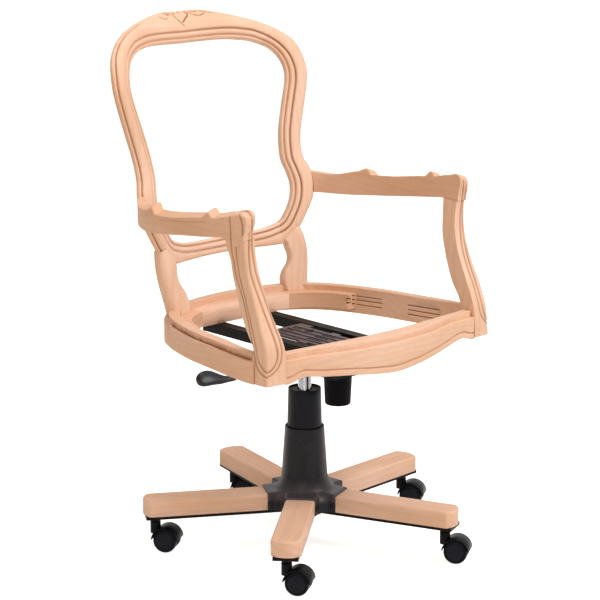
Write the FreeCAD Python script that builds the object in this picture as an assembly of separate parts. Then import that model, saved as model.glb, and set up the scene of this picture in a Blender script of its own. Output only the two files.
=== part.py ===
import FreeCAD, Part
import math
import os
from FreeCAD import Vector

# Armchair frame of bare beech on a five-arm swivel base, in millimetres.
# The origin is on the floor under the column, -Y is the front and +X is the sitter's left.

# Base
arm_count = 5
first_arm_angle = 4.9
arm_tip_radius = 345.0
cap_start_radius = 70.0
cap_width = 62.0
cap_bottom = 80.0
cap_thickness = 34.0
cap_tip_bow = 12.0
cap_corner = 5.0
cap_tip_corner = 10.0
steel_width = 52.0
steel_depth = 8.0
steel_wall = 3.0
hub_radius = 38.0
hub_bottom = 62.0
hub_top = 128.0
cap_screw_radius = 2.5
cap_screw_head_radius = 5.0
cap_screw_head_height = 3.0
cap_screw_grip = 18.0
cap_screw_radii = (120.0, 250.0)

# Casters
caster_radius = 319.0
caster_angle = -57.0
caster_trail = 25.0
wheel_radius = 25.0
wheel_width = 17.0
wheel_gap = 1.0
wheel_dish = 2.6
wheel_face = 1.2
web_width = 10.0
hood_gap = 1.6
hood_wall = 2.4
stem_radius = 5.5
stem_boss_radius = 11.0
stem_boss_top = 62.0
axle_radius = 3.0
axle_cover = 2.0
axle_end_gap = 0.3

# Column
cylinder_radius = 25.0
cylinder_bottom = 56.0
cylinder_top = 300.0
cylinder_wall = 2.5
bush_height = 15.0
rod_radius = 14.0
rod_bottom = 150.0
rod_top = 392.0
rod_foot_radius = 21.0
rod_foot_height = 10.0
button_radius = 4.0
button_height = 13.5
button_stand = 7.0
button_room = 4.5
cover_top = 254.0
cover_top_radius = 41.0
cover_waist = 142.0
cover_waist_radius = 48.5
cover_wall = 2.2
ledge_height = 152.0
ledge_width = 14.0
cover_bottom = 67.0
lobe_reach = 84.0
lobe_round = 8.0
flare_radius = 76.0
flare_top = 103.0
lobe_top = 121.0
lobe_wall = 3.0
lobe_clearance = 0.4
sleeve_top = 335.0
sleeve_top_radius = 34.5
sleeve_bottom_radius = 39.0
sleeve_wall = 2.0
sleeve_lid_drop = 3.0
sleeve_lid_hole = 16.0

# Tilt mechanism
housing_half_width = 45.0
housing_wall = 3.0
housing_bottom = 372.0
housing_front_bottom = 385.0
housing_front = -138.0
housing_back = 60.0
housing_top = 441.0
housing_back_top = 411.0
socket_radius = 20.0
socket_bottom = 366.0
pivot_y = -45.0
pivot_z = 432.0
pivot_radius = 5.0
pivot_head_radius = 8.0
pivot_head_width = 3.0
knob_y = -101.0
knob_bottom = 321.0
knob_bottom_radius = 26.5
knob_top_radius = 29.5
knob_flutes = 18
knob_flute_depth = 1.2
bolt_radius = 5.0
bolt_head_radius = 17.0
bolt_head_height = 4.0
bolt_head_drop = 8.0
spring_radius = 13.0
spring_wire_radius = 2.2
spring_turns = 5
lever_rod_radius = 4.0
lever_inner_z = 405.0
lever_outer_z = 382.0
lever_inner_x = 8.0
lever_outer_x = -188.0
lever_outer_y = 24.0
paddle_length = 92.0
paddle_grip = 14.0
paddle_twist = 50.0

# Seat plate and bars
plate_thickness = 4.0
plate_bottom = 446.0
plate_half_width = 43.0
plate_back = 73.0
plate_front = -150.0
plate_tab = 38.0
plate_rib_height = 2.0
ear_width = 4.0
ear_gap = 2.0
ear_radius = 12.0
bar_inner_x = 60.0
bar_width = 25.0
bar_height = 22.0
bar_wall = 2.5
bar_front = -216.0
bar_back = 228.0
seat_bolt_radius = 3.0
seat_bolt_head_radius = 6.0
seat_bolt_head_height = 4.0
seat_bolt_grip = 22.0

# Seat frame
seat_top = 496.0
rim_height = 12.0
rim_setback = 10.0
rail_depth = 56.0
rail_wall = 33.0
rail_front_wall = 29.0
back_joint_x = 168.0
board_thickness = 32.5
board_drop = 11.5
board_front_y = 183.0
board_joint_x = 123.0
block_reach_x = 210.0
block_reach_y = 88.0
block_bow = 0.65
front_board_back_y = -196.0
front_board_half = 232.0
bead_width = 3.6
bead_depth = 3.0
bead_rise = 11.5
apron_start = -320.0
apron_reach = 160.0
front_blank = 90.0

# Back, measured along its rake from the top of the back board
back_rake = 14.84
back_radius = 445.0
back_foot_y = 227.5
back_foot_drop = 10.0
back_thickness = 26.0
groove_inner = 9.0
groove_outer = 22.0
groove_half = 2.2
groove_depth = 3.2
edge_break = 3.0
ovolo_depth = 17.0
back_edge_round = 7.0
post_thickness = 32.0

# Front posts and arms
post_joint_above_top = 220.0
arris_radius = 5.0
arm_slant = 0.33
arm_inner_x = 296.0

rail_bottom = seat_top - rail_depth
rim_bottom = seat_top - rim_height
board_top = seat_top - board_drop
board_bottom = board_top - board_thickness
bar_top = board_bottom
arm_joint_z = seat_top + post_joint_above_top
running_fit = 0.05
seat_fit = 0.3


def mirrored(shape):
    """The same shape on the other side of the chair."""
    return shape.mirror(Vector(0, 0, 0), Vector(1, 0, 0))


def chain(*runs):
    """One wire of straight runs (two points) and smooth curves (three points or more)."""
    edges = []
    for run in runs:
        if len(run) == 2:
            edges.append(Part.LineSegment(run[0], run[1]).toShape())
        else:
            curve = Part.BSplineCurve()
            curve.interpolate(run)
            edges.append(curve.toShape())
    return Part.Wire(edges)


def prism(wire, travel):
    return Part.Face(wire).extrude(travel)


def box(x0, x1, y0, y1, z0, z1):
    return Part.makeBox(x1 - x0, y1 - y0, z1 - z0, Vector(x0, y0, z0))


def cylinder(radius, z0, z1, x=0.0, y=0.0):
    return Part.makeCylinder(radius, z1 - z0, Vector(x, y, z0))


def cylinder_x(radius, x0, x1, y, z):
    return Part.makeCylinder(radius, x1 - x0, Vector(x0, y, z), Vector(1, 0, 0))


def revolved(profile):
    """A solid turned about the Z axis from (radius, height) points."""
    points = [Vector(r, 0, z) for r, z in profile]
    points.append(points[0])
    face = Part.Face(Part.makePolygon(points))
    return face.revolve(Vector(0, 0, 0), Vector(0, 0, 1), 360)


def at_level(points, z):
    return [Vector(x, y, z) for x, y in points]


def polygon_prism(points, z0, z1):
    ring = at_level(points, z0)
    ring.append(ring[0])
    return prism(Part.makePolygon(ring), Vector(0, 0, z1 - z0))


def side_prism(points, x0, x1):
    """An outline of (y, z) points carried along X."""
    ring = [Vector(x0, y, z) for y, z in points]
    ring.append(ring[0])
    return prism(Part.makePolygon(ring), Vector(x1 - x0, 0, 0))


def save(name, shape):
    shape.exportStep("parts/" + name + ".step")


def arm_angles():
    step = 360.0 / arm_count
    return [first_arm_angle + step * index for index in range(arm_count)]


def turned(shape, angle):
    """A copy turned about the column."""
    copy = shape.copy()
    copy.rotate(Vector(0, 0, 0), Vector(0, 0, 1), angle)
    return copy


# Base spider: a hub and five channel arms of pressed steel.
def base_spider():
    hub = cylinder(hub_radius, hub_bottom, hub_top)
    spider = hub
    for angle in arm_angles():
        half = steel_width / 2
        bottom = cap_bottom - steel_depth
        arm = box(0, arm_tip_radius - 4, -half, half, bottom, cap_bottom)
        hollow = box(hub_radius, arm_tip_radius - 4 - steel_wall, -half + steel_wall, half - steel_wall,
                     bottom, cap_bottom - steel_wall)
        boss = cylinder(stem_radius + 4, hub_bottom + 2, cap_bottom - steel_wall, caster_radius)
        bore = cylinder(stem_radius + running_fit, hub_bottom, cap_bottom - steel_wall, caster_radius)
        arm = arm.cut(hollow).fuse(boss).cut(bore)
        for radius in cap_screw_radii:
            arm = arm.cut(cylinder(cap_screw_radius, bottom, cap_bottom, radius))
        spider = spider.fuse(turned(arm, angle))
    spider = spider.cut(cylinder(cylinder_radius, hub_bottom, hub_top))
    return spider.removeSplitter()


def cap():
    """A wooden cap over one steel arm, bowed at its tip."""
    half = cap_width / 2
    tip = arm_tip_radius
    start = Vector(cap_start_radius, -half, cap_bottom)
    corner = Vector(tip - cap_tip_bow, -half, cap_bottom)
    far_corner = Vector(tip - cap_tip_bow, half, cap_bottom)
    finish = Vector(cap_start_radius, half, cap_bottom)
    edges = [
        Part.LineSegment(start, corner).toShape(),
        Part.Arc(corner, Vector(tip, 0, cap_bottom), far_corner).toShape(),
        Part.LineSegment(far_corner, finish).toShape(),
        Part.LineSegment(finish, start).toShape(),
    ]
    body = prism(Part.Wire(edges), Vector(0, 0, cap_thickness))
    upright = [edge for edge in body.Edges
               if abs(edge.BoundBox.ZLength - cap_thickness) < 0.01 and edge.BoundBox.XMin > cap_start_radius + 1]
    body = body.makeFillet(cap_tip_corner, upright)
    top = cap_bottom + cap_thickness
    rounded = [edge for edge in body.Edges
               if abs(edge.BoundBox.ZMin - top) < 0.01 and edge.BoundBox.XMax > cap_start_radius + 1]
    body = body.makeFillet(cap_corner, rounded)
    for radius in cap_screw_radii:
        body = body.cut(cylinder(cap_screw_radius, cap_bottom, cap_bottom + cap_screw_grip, radius))
    return body


def cap_screws():
    under = cap_bottom - steel_wall
    screws = []
    for angle in arm_angles():
        for radius in cap_screw_radii:
            shank = cylinder(cap_screw_radius, under, cap_bottom + cap_screw_grip, radius)
            head = cylinder(cap_screw_head_radius, under - cap_screw_head_height, under, radius)
            screws.append(turned(shank.fuse(head), angle))
    return Part.makeCompound(screws)


# Casters: each is built with its stem on the Z axis and its wheels trailing along +X.
def hood():
    centre = Vector(caster_trail, 0, wheel_radius)
    half_web = web_width / 2
    half_span = half_web + wheel_gap + wheel_width
    inside = wheel_radius + hood_gap
    outside = inside + hood_wall
    sideways = Vector(0, 1, 0)
    shell = Part.makeCylinder(outside, 2 * half_span, centre - sideways * half_span, sideways)
    shell = shell.cut(Part.makeCylinder(inside, 2 * half_span, centre - sideways * half_span, sideways))
    web = Part.makeCylinder(outside, web_width, centre - sideways * half_web, sideways)
    body = shell.fuse(web)
    lower = wheel_radius + 3
    body = body.cut(box(-60, 90, -60, 60, -10, lower))
    hub = Part.makeCylinder(axle_radius + 6, web_width, centre - sideways * half_web, sideways)
    stay = box(caster_trail - axle_radius - 6, caster_trail + axle_radius + 6, -half_web, half_web,
               wheel_radius, lower + 1)
    boss = cylinder(stem_boss_radius, wheel_radius + 12, stem_boss_top)
    wheel_room = Part.makeCylinder(inside, 2 * half_span, centre - sideways * half_span, sideways)
    boss = boss.cut(wheel_room)
    stem = cylinder(stem_radius, wheel_radius + 24, cap_bottom - steel_wall - 1)
    body = body.fuse([hub, stay, boss, stem])
    body = body.cut(Part.makeCylinder(axle_radius, web_width, centre - sideways * half_web, sideways))
    return body.removeSplitter()


def wheel():
    """A caster wheel on the Y axis: a rounded tread and a domed disc closed over the axle's end."""
    rim = wheel_radius - 4.0
    tread = 3.0
    bore = axle_radius + running_fit
    depth = wheel_width - wheel_face - axle_cover
    profile = [
        (0, depth), (bore, depth), (bore, 0), (wheel_radius - tread, 0), (wheel_radius - 0.6, 0.8),
        (wheel_radius, tread), (wheel_radius, wheel_width - tread - 2),
        (wheel_radius - 1.4, wheel_width - 2.2), (rim, wheel_width - 1),
        (rim - 1.2, wheel_width - wheel_dish), (rim - 2.4, wheel_width - wheel_face),
        (rim / 2, wheel_width - wheel_face / 3), (0, wheel_width),
    ]
    body = revolved(profile)
    body.rotate(Vector(0, 0, 0), Vector(1, 0, 0), -90)
    return body


def axle():
    half = web_width / 2 + wheel_gap + wheel_width - wheel_face - axle_cover - axle_end_gap
    return Part.makeCylinder(axle_radius, 2 * half, Vector(caster_trail, -half, wheel_radius), Vector(0, 1, 0))


def at_caster(shape, angle):
    copy = shape.copy()
    copy.rotate(Vector(0, 0, 0), Vector(0, 0, 1), caster_angle)
    spot = math.radians(angle)
    copy.translate(Vector(caster_radius * math.cos(spot), caster_radius * math.sin(spot), 0))
    return copy


def wheel_pair():
    """The two wheels of one caster, either side of its web."""
    offset = web_width / 2 + wheel_gap
    left = wheel()
    left.translate(Vector(caster_trail, offset, wheel_radius))
    right = wheel().mirror(Vector(0, 0, 0), Vector(0, 1, 0))
    right.translate(Vector(caster_trail, -offset, wheel_radius))
    return left, right


# Column covers
def cover_radius(z):
    share = (cover_top - z) / (cover_top - cover_waist)
    return cover_top_radius + share * (cover_waist_radius - cover_top_radius)


def base_cover():
    """The bell over the hub, with a lobe over the inner end of each arm."""
    skirt_z = cover_bottom
    middle = Vector(flare_radius - 0.72 * (flare_radius - cover_waist_radius), 0,
                    flare_top + 0.28 * (cover_waist - flare_top))
    outline = [Vector(0, 0, skirt_z), Vector(flare_radius, 0, skirt_z), Vector(flare_radius, 0, flare_top),
               Vector(cover_waist_radius, 0, cover_waist), Vector(cover_top_radius, 0, cover_top),
               Vector(0, 0, cover_top)]
    edges = [Part.LineSegment(outline[index], outline[(index + 1) % len(outline)]).toShape()
             for index in range(len(outline)) if index != 2]
    edges.append(Part.Arc(outline[2], middle, outline[3]).toShape())
    profile = Part.Wire(Part.__sortEdges__(edges))
    bell = Part.Face(profile).revolve(Vector(0, 0, 0), Vector(0, 0, 1), 360)
    half = cap_width / 2 + lobe_clearance + lobe_wall
    for angle in arm_angles():
        lobe = box(10, lobe_reach, -half, half, skirt_z, lobe_top)
        crests = [edge for edge in lobe.Edges
                  if edge.BoundBox.ZMin > lobe_top - 0.01 and edge.BoundBox.XLength > 1]
        lobe = lobe.makeFillet(lobe_round, crests)
        bell = bell.fuse(turned(lobe, angle))
    inner_top = cover_top_radius - cover_wall
    inner_waist = cover_radius(ledge_height) - cover_wall
    well = revolved([(0, ledge_height), (inner_waist, ledge_height), (inner_top, cover_top), (0, cover_top)])
    hub_room = revolved([(0, skirt_z), (hub_radius + 1, skirt_z), (hub_radius + 1, hub_top + 1),
                         (hub_radius - 4, ledge_height - 6), (0, ledge_height - 6)])
    throat = cylinder(inner_waist - ledge_width, ledge_height - 7, ledge_height + 1)
    bell = bell.cut(well).cut(hub_room).cut(throat)
    for angle in arm_angles():
        slot_half = cap_width / 2 + lobe_clearance
        slot = box(cap_start_radius - lobe_clearance, lobe_reach + 1, -slot_half, slot_half,
                   skirt_z - 1, cap_bottom + cap_thickness + lobe_clearance)
        steel_half = steel_width / 2 + lobe_clearance
        steel_slot = box(0, lobe_reach + 1, -steel_half, steel_half, skirt_z - 1, cap_bottom + lobe_clearance)
        bell = bell.cut(turned(slot, angle)).cut(turned(steel_slot, angle))
    return bell.removeSplitter()


def upper_sleeve():
    lid = sleeve_top - sleeve_lid_drop
    outer = sleeve_bottom_radius
    profile = [(outer - sleeve_wall, ledge_height), (outer, ledge_height), (sleeve_top_radius, sleeve_top),
               (sleeve_top_radius - sleeve_wall, sleeve_top), (sleeve_top_radius - sleeve_wall - 0.1, lid),
               (sleeve_lid_hole, lid), (sleeve_lid_hole, lid - sleeve_wall),
               (sleeve_top_radius - sleeve_wall - 0.1, lid - sleeve_wall)]
    return revolved(profile)


def gas_cylinder():
    inner = cylinder_radius - cylinder_wall
    body = cylinder(cylinder_radius, cylinder_bottom, cylinder_top)
    body = body.cut(cylinder(inner, cylinder_bottom + 5, cylinder_top - bush_height))
    return body.cut(cylinder(rod_radius + running_fit, cylinder_top - bush_height, cylinder_top))


def lift_rod():
    rod = cylinder(rod_radius, rod_bottom, rod_top)
    foot = cylinder(rod_foot_radius, rod_bottom, rod_bottom + rod_foot_height)
    bore_floor = rod_top + button_stand - button_height - button_room
    bore = cylinder(button_radius + running_fit, bore_floor, rod_top)
    return rod.fuse(foot).cut(bore)


def release_button():
    top = rod_top + button_stand
    return cylinder(button_radius, top - button_height, top)


# Tilt mechanism
def housing():
    step_back = pivot_y + 5
    step_front = knob_y + 32
    outline = [(housing_back, housing_bottom), (step_back, housing_bottom),
               (step_front, housing_front_bottom), (housing_front, housing_front_bottom),
               (housing_front, housing_top - 14),
               (pivot_y - 25, housing_top), (pivot_y + 22, housing_top - 5), (housing_back, housing_back_top)]
    body = side_prism(outline, -housing_half_width, housing_half_width)
    w = housing_wall
    inner = [(housing_back - w, housing_bottom + w), (step_back + w / 2, housing_bottom + w),
             (step_front + w / 2, housing_front_bottom + w), (housing_front + w, housing_front_bottom + w),
             (housing_front + w, housing_top + 20), (housing_back - w, housing_top + 20)]
    body = body.cut(side_prism(inner, -housing_half_width + w, housing_half_width - w))
    socket = cylinder(socket_radius, socket_bottom, rod_top)
    body = body.fuse(socket).cut(cylinder(rod_radius + running_fit, socket_bottom, rod_top))
    body = body.cut(cylinder_x(pivot_radius, -housing_half_width, housing_half_width, pivot_y, pivot_z))
    bolt_hole = cylinder(bolt_radius + running_fit, housing_front_bottom - 1, housing_front_bottom + w + 1,
                         0, knob_y)
    body = body.cut(bolt_hole)
    gate = lever_point(-housing_half_width + w / 2)
    half = lever_rod_radius + 0.6
    slot = box(gate.x - w, gate.x + w, gate.y - half, gate.y + half, gate.z - half, gate.z + half)
    return body.cut(slot).removeSplitter()


def pivot_pin():
    reach = housing_half_width + ear_gap + ear_width + 0.2
    pin = cylinder_x(pivot_radius, -reach, reach, pivot_y, pivot_z)
    head = cylinder_x(pivot_head_radius, reach, reach + pivot_head_width, pivot_y, pivot_z)
    return pin.fuse([head, mirrored(head)])


def tension_knob():
    """The hand knob under the housing, with its bolt up through the spring."""
    top = housing_front_bottom - seat_fit
    cup = Part.makeCone(knob_bottom_radius, knob_top_radius, top - knob_bottom, Vector(0, 0, knob_bottom))
    cup = cup.makeFillet(3, [edge for edge in cup.Edges if edge.BoundBox.ZMax < knob_bottom + 0.1])
    for index in range(knob_flutes):
        turn = 2 * math.pi * index / knob_flutes
        reach = knob_top_radius + 2.6 - knob_flute_depth
        flute = Part.makeCylinder(2.6, top - knob_bottom - 8,
                                  Vector(reach * math.cos(turn), reach * math.sin(turn), knob_bottom + 5),
                                  Vector(-0.04 * math.cos(turn), -0.04 * math.sin(turn), -1) * -1)
        cup = cup.cut(flute)
    head_top = housing_top - bolt_head_drop
    bolt = cylinder(bolt_radius, top - 1, head_top)
    head = cylinder(bolt_head_radius, head_top - bolt_head_height, head_top)
    knob = cup.fuse([bolt, head])
    knob.translate(Vector(0, knob_y, 0))
    return knob


def tension_spring():
    """The coil under the bolt's head, as a sleeve with one ridge for each turn."""
    bottom = housing_front_bottom + housing_wall
    top = housing_top - bolt_head_drop - bolt_head_height
    pitch = (top - bottom) / spring_turns
    crest = spring_radius + spring_wire_radius
    inside = spring_radius - spring_wire_radius
    profile = [(inside, bottom)]
    for index in range(spring_turns):
        profile.append((spring_radius, bottom + pitch * index))
        profile.append((crest, bottom + pitch * (index + 0.5)))
    profile += [(spring_radius, top), (inside, top)]
    spring = revolved(profile)
    spring.translate(Vector(0, knob_y, 0))
    return spring


def lever_point(x):
    """The point of the lever's centre line at x."""
    share = (x - lever_inner_x) / (lever_outer_x - lever_inner_x)
    inner_y = lever_outer_y * lever_inner_x / lever_outer_x
    return Vector(x, inner_y + share * (lever_outer_y - inner_y),
                  lever_inner_z + share * (lever_outer_z - lever_inner_z))


def lever_rod():
    """The rod from over the button out and down to the paddle."""
    start = lever_point(lever_inner_x)
    finish = lever_point(lever_outer_x)
    return Part.makeCylinder(lever_rod_radius, (finish - start).Length, start, finish - start)


def lever_paddle():
    """A moulded spoon on the end of the rod: a twisted blade that turns up towards its tip."""
    along = Vector(lever_outer_x, lever_outer_y, 0)
    along.normalize()
    across = Vector(-along.y, along.x, 0)
    up = Vector(0, 0, 1)
    start = lever_point(lever_outer_x) - along * paddle_grip
    # Share of the length, lift, half width, half thickness and share of the twist.
    stations = [(0.0, 1.0, 6.5, 6.0, 0.0), (0.15, 1.0, 7.5, 6.2, 0.2), (0.34, 3.5, 11.0, 6.0, 0.8),
                (0.58, 9.5, 16.0, 5.6, 1.0), (0.78, 10.5, 17.0, 5.6, 1.0), (0.93, 8.5, 13.0, 5.0, 1.0),
                (1.0, 7.5, 6.0, 2.6, 1.0)]
    rings = []
    for share, lift, half_width, half_height, turn in stations:
        centre = start + along * (share * paddle_length) + up * lift
        twist = math.radians(paddle_twist * turn)
        wide = across * -math.cos(twist) + up * math.sin(twist)
        thin = across * math.sin(twist) + up * math.cos(twist)
        ellipse = Part.Ellipse(centre + wide * half_width, centre + thin * half_height, centre)
        rings.append(Part.Wire(ellipse.toShape()))
    body = Part.makeLoft(rings, True, False)
    return body.cut(lever_rod())


# Seat plate and bars
def seat_plate():
    half = plate_half_width
    reach = bar_inner_x
    back_step = plate_back - plate_tab
    front_step = plate_front + plate_tab
    outline = [(-reach, plate_back), (reach, plate_back), (reach, back_step), (half, back_step),
               (half, front_step), (reach, front_step), (reach, plate_front), (-reach, plate_front),
               (-reach, front_step), (-half, front_step), (-half, back_step), (-reach, back_step)]
    z0 = plate_bottom
    z1 = plate_bottom + plate_thickness
    plate = polygon_prism(outline, z0, z1)
    for x in (-30.0, -10.0, 10.0, 30.0):
        rib = box(x - 2.5, x + 2.5, plate_front + 12, plate_back - 12, z1, z1 + plate_rib_height)
        plate = plate.fuse(rib)
    plate = plate.cut(cylinder(11, z0, z1 + 5, 20, 8))
    for x in (-20.0, 0.0, 20.0):
        plate = plate.cut(box(x - 3, x + 3, 34, 60, z0, z1 + 5))
        plate = plate.cut(box(x - 3, x + 3, -70, -30, z0, z1 + 5))
    inner = housing_half_width + ear_gap
    ear = cylinder_x(ear_radius, inner, inner + ear_width, pivot_y, pivot_z)
    ear = ear.fuse(box(inner, inner + ear_width, pivot_y - ear_radius, pivot_y + ear_radius, pivot_z, z1))
    shelf = box(plate_half_width - 1, inner + ear_width, pivot_y - ear_radius, pivot_y + ear_radius, z0, z1)
    plate = plate.fuse([ear, mirrored(ear), shelf, mirrored(shelf)])
    reach = inner + ear_width
    return plate.cut(cylinder_x(pivot_radius + running_fit, -reach, reach, pivot_y, pivot_z)).removeSplitter()


def seat_bolt_spots():
    x = bar_inner_x + bar_width / 2
    return [(x, board_front_y + 20), (x, bar_front + 8)]


def bar():
    """A steel channel, open below, that carries the wooden frame."""
    x1 = bar_inner_x + bar_width
    z0 = bar_top - bar_height
    body = box(bar_inner_x, x1, bar_front, bar_back, z0, bar_top)
    hollow = box(bar_inner_x + bar_wall, x1 - bar_wall, bar_front, bar_back, z0, bar_top - bar_wall)
    body = body.cut(hollow)
    for x, y in seat_bolt_spots():
        body = body.cut(cylinder(seat_bolt_radius, bar_top - bar_wall, bar_top, x, y))
    return body


def seat_bolts():
    bolts = []
    under = bar_top - bar_wall
    for x, y in seat_bolt_spots():
        shank = cylinder(seat_bolt_radius, under, bar_top + seat_bolt_grip, x, y)
        head = cylinder(seat_bolt_head_radius, under - seat_bolt_head_height, under, x, y)
        bolt = shank.fuse(head)
        bolts.append(bolt)
        bolts.append(mirrored(bolt))
    return Part.makeCompound(bolts)


def bolt_holes():
    """The bolts' own shanks, to be taken out of the wood."""
    holes = []
    for x, y in seat_bolt_spots():
        hole = cylinder(seat_bolt_radius, bar_top, bar_top + seat_bolt_grip, x, y)
        holes.append(hole)
        holes.append(mirrored(hole))
    return holes


# Seat frame: one ring in plan, cut into rails.
ring_outer_half = [(318.0, -205.0), (312.5, -123.0), (300.0, -50.0), (287.0, 28.0), (273.5, 78.0),
                   (261.0, 116.0), (248.0, 147.0), (229.0, 181.0), (200.0, 213.0), (154.0, 244.0),
                   (102.0, 259.0), (50.0, 268.0)]
ring_back_y = 271.0


def offset_points(points, distances):
    """Points moved square to the curve through them, towards the inside of the seat."""
    moved = []
    last = len(points) - 1
    for index, (x, y) in enumerate(points):
        before = points[max(index - 1, 0)]
        after = points[min(index + 1, last)]
        dx = after[0] - before[0]
        dy = after[1] - before[1]
        length = math.hypot(dx, dy)
        moved.append((x - dy / length * distances[index], y + dx / length * distances[index]))
    return moved


def ring_curve(half, middle_y, z):
    """The whole curve of the seat's sides and back, from the front left round to the front right."""
    points = half + [(0.0, middle_y)]
    points = points + [(-x, y) for x, y in reversed(half)]
    return at_level(points, z)


def ring_region(half, middle_y, z0, z1):
    curve = ring_curve(half, middle_y, z0)
    wire = chain(curve, [curve[-1], curve[0]])
    return prism(wire, Vector(0, 0, z1 - z0))


def offset_half(distance, front_distance):
    distances = [distance] * len(ring_outer_half)
    distances[0] = front_distance
    distances[1] = front_distance + (distance - front_distance) * 0.4
    return offset_points(ring_outer_half, distances)


def seat_ring():
    inner_half = offset_half(rail_wall, rail_front_wall)
    lower = ring_region(ring_outer_half, ring_back_y, rail_bottom, rim_bottom)
    rim_half = offset_half(rim_setback, rim_setback)
    upper = ring_region(rim_half, ring_back_y - rim_setback, rim_bottom, seat_top)
    inside = ring_region(inner_half, ring_back_y - rail_wall, rail_bottom, seat_top)
    return lower.fuse(upper).cut(inside).removeSplitter(), inside


front_outer = [(266.0, -229.0), (237.0, -236.0), (206.0, -240.5), (177.0, -247.0), (150.0, -256.0),
               (124.0, -264.5), (96.0, -270.5), (60.0, -274.5), (0.0, -277.0)]
front_inner = [(262.0, -198.0), (240.0, -205.0), (0.0, -233.0)]
apron_bottom = [(270.0, -58.5), (258.0, -58.0), (246.0, -55.0), (234.0, -51.0), (222.0, -49.5),
                (205.0, -52.0), (176.0, -56.0), (147.0, -58.0), (117.0, -60.0), (80.0, -64.5),
                (47.0, -68.0), (0.0, -71.5)]


def both_sides(half):
    """Points from the right end through the middle to the left end."""
    return half + [(-x, y) for x, y in reversed(half[:-1])]


def front_prism(outer_shift, z0, z1):
    outer = [(x, y + outer_shift) for x, y in both_sides(front_outer)]
    inner = [(-x, y) for x, y in both_sides(front_inner)]
    outer_run = at_level(outer, z0)
    inner_run = at_level(inner, z0)
    sides = [[inner_run[index], inner_run[index + 1]] for index in range(len(inner_run) - 1)]
    wire = chain(outer_run, [outer_run[-1], inner_run[0]], *sides, [inner_run[-1], outer_run[0]])
    return prism(wire, Vector(0, 0, z1 - z0))


def apron_region(rise_low, rise_high):
    """A curtain over the apron's curve, between two heights above its lower edge."""
    low = [Vector(x, apron_start, seat_top + z + rise_low) for x, z in both_sides(apron_bottom)]
    if rise_high is None:
        high = [Vector(low[-1].x, low[-1].y, seat_top + 1), Vector(low[0].x, low[0].y, seat_top + 1)]
    else:
        high = [Vector(p.x, p.y, p.z + rise_high - rise_low) for p in reversed(low)]
    wire = chain(low, [low[-1], high[0]], high, [high[-1], low[0]])
    return prism(wire, Vector(0, apron_reach, 0))


def front_rail(posts):
    deep = front_prism(0.0, seat_top - front_blank, rim_bottom)
    rim = front_prism(rim_setback, rim_bottom, seat_top)
    rail = deep.fuse(rim).common(apron_region(0.0, None))
    core = front_prism(bead_depth, seat_top - front_blank, rim_bottom)
    bead = apron_region(bead_rise, bead_rise + bead_width).cut(core)
    rail = rail.cut(bead)
    for post in posts:
        rail = rail.cut(post)
    return rail.removeSplitter()


def seat_frame(posts):
    """Side rails, back rail, back board, front board and corner blocks."""
    ring, inside = seat_ring()
    far = 400.0
    low = rail_bottom - 1
    high = seat_top + 1
    side = ring.common(box(back_joint_x, far, -far, far, low, high))
    side = side.common(box(0, far, front_inner[0][1], far, low, high)).cut(posts[0])
    back = ring.common(box(-back_joint_x, back_joint_x, 0, far, low, high))
    holes = bolt_holes()
    deck = box(-far, far, -far, far, board_bottom, board_top)
    board_room = box(-board_joint_x, board_joint_x, board_front_y, far, low, high)
    board = inside.common(deck).common(board_room).cut(holes)
    corner = (board_joint_x, board_front_y)
    tip = (block_reach_x, block_reach_y)
    middle_x = board_joint_x + block_bow * (block_reach_x - board_joint_x)
    middle_y = board_front_y - (1 - block_bow) * (board_front_y - block_reach_y)
    middle = (middle_x, middle_y)
    arc = at_level([corner, middle, tip], board_bottom)
    outer = at_level([(far, block_reach_y), (far, far), (board_joint_x, far)], board_bottom)
    wire = chain(arc, [arc[-1], outer[0]], outer[:2], outer[1:], [outer[-1], arc[0]])
    block = inside.common(prism(wire, Vector(0, 0, board_thickness)))
    rail_y = front_inner[-1][1]
    slope = (front_inner[1][1] - rail_y) / front_inner[1][0]
    edge_y = rail_y + slope * front_board_half
    outline = [(-front_board_half, front_board_back_y), (front_board_half, front_board_back_y),
               (front_board_half, edge_y), (0, rail_y), (-front_board_half, edge_y)]
    front = polygon_prism(outline, board_bottom, board_top).cut(holes)
    return side, back, board, block, front


# Back frame: sections square to the moulding, lofted along the raked and curved back.
rake = math.radians(back_rake)
rake_up = Vector(0, math.sin(rake), math.cos(rake))
rake_front = Vector(0, -math.cos(rake), math.sin(rake))
back_foot = Vector(0, back_foot_y, seat_top - back_foot_drop)


def back_point(x, s, depth):
    """A point of the back: x across, s up the rake, depth behind the front face.
    Points with one s have one height, though the sides come forward of the middle."""
    swing = math.asin(x / back_radius)
    reach = back_radius + depth
    climb = s - back_radius * (1 - math.cos(swing)) * math.tan(rake)
    axis = back_foot + rake_up * climb + rake_front * back_radius
    return axis - rake_front * (reach * math.cos(swing)) + Vector(reach * math.sin(swing), 0, 0)


def section_plane(inner, outer):
    start = back_point(inner[0], inner[1], 0)
    across = back_point(outer[0], outer[1], 0) - start
    width = across.Length
    across.normalize()
    swing = math.asin((inner[0] + outer[0]) / 2 / back_radius)
    behind = rake_front * -math.cos(swing) + Vector(math.sin(swing), 0, 0)
    behind = behind - across * behind.dot(across)
    behind.normalize()
    return start, across, behind, width


def section_wire(inner, outer, corners, bow):
    """Straight runs through the corners, with one rounded run after the corner named by bow."""
    start, across, behind, _ = section_plane(inner, outer)

    def place(a, d):
        return start + across * a + behind * d

    runs = []
    count = len(corners)
    for index in range(count):
        here = corners[index]
        there = corners[(index + 1) % count]
        if index == bow:
            curve = []
            for step in range(5):
                turn = math.pi / 2 * step / 4
                a = here[0] + (there[0] - here[0]) * math.sin(turn)
                d = here[1] + (there[1] - here[1]) * (1 - math.cos(turn))
                curve.append(place(a, d))
            runs.append(curve)
        else:
            runs.append([place(*here), place(*there)])
    return chain(*runs)


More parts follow.
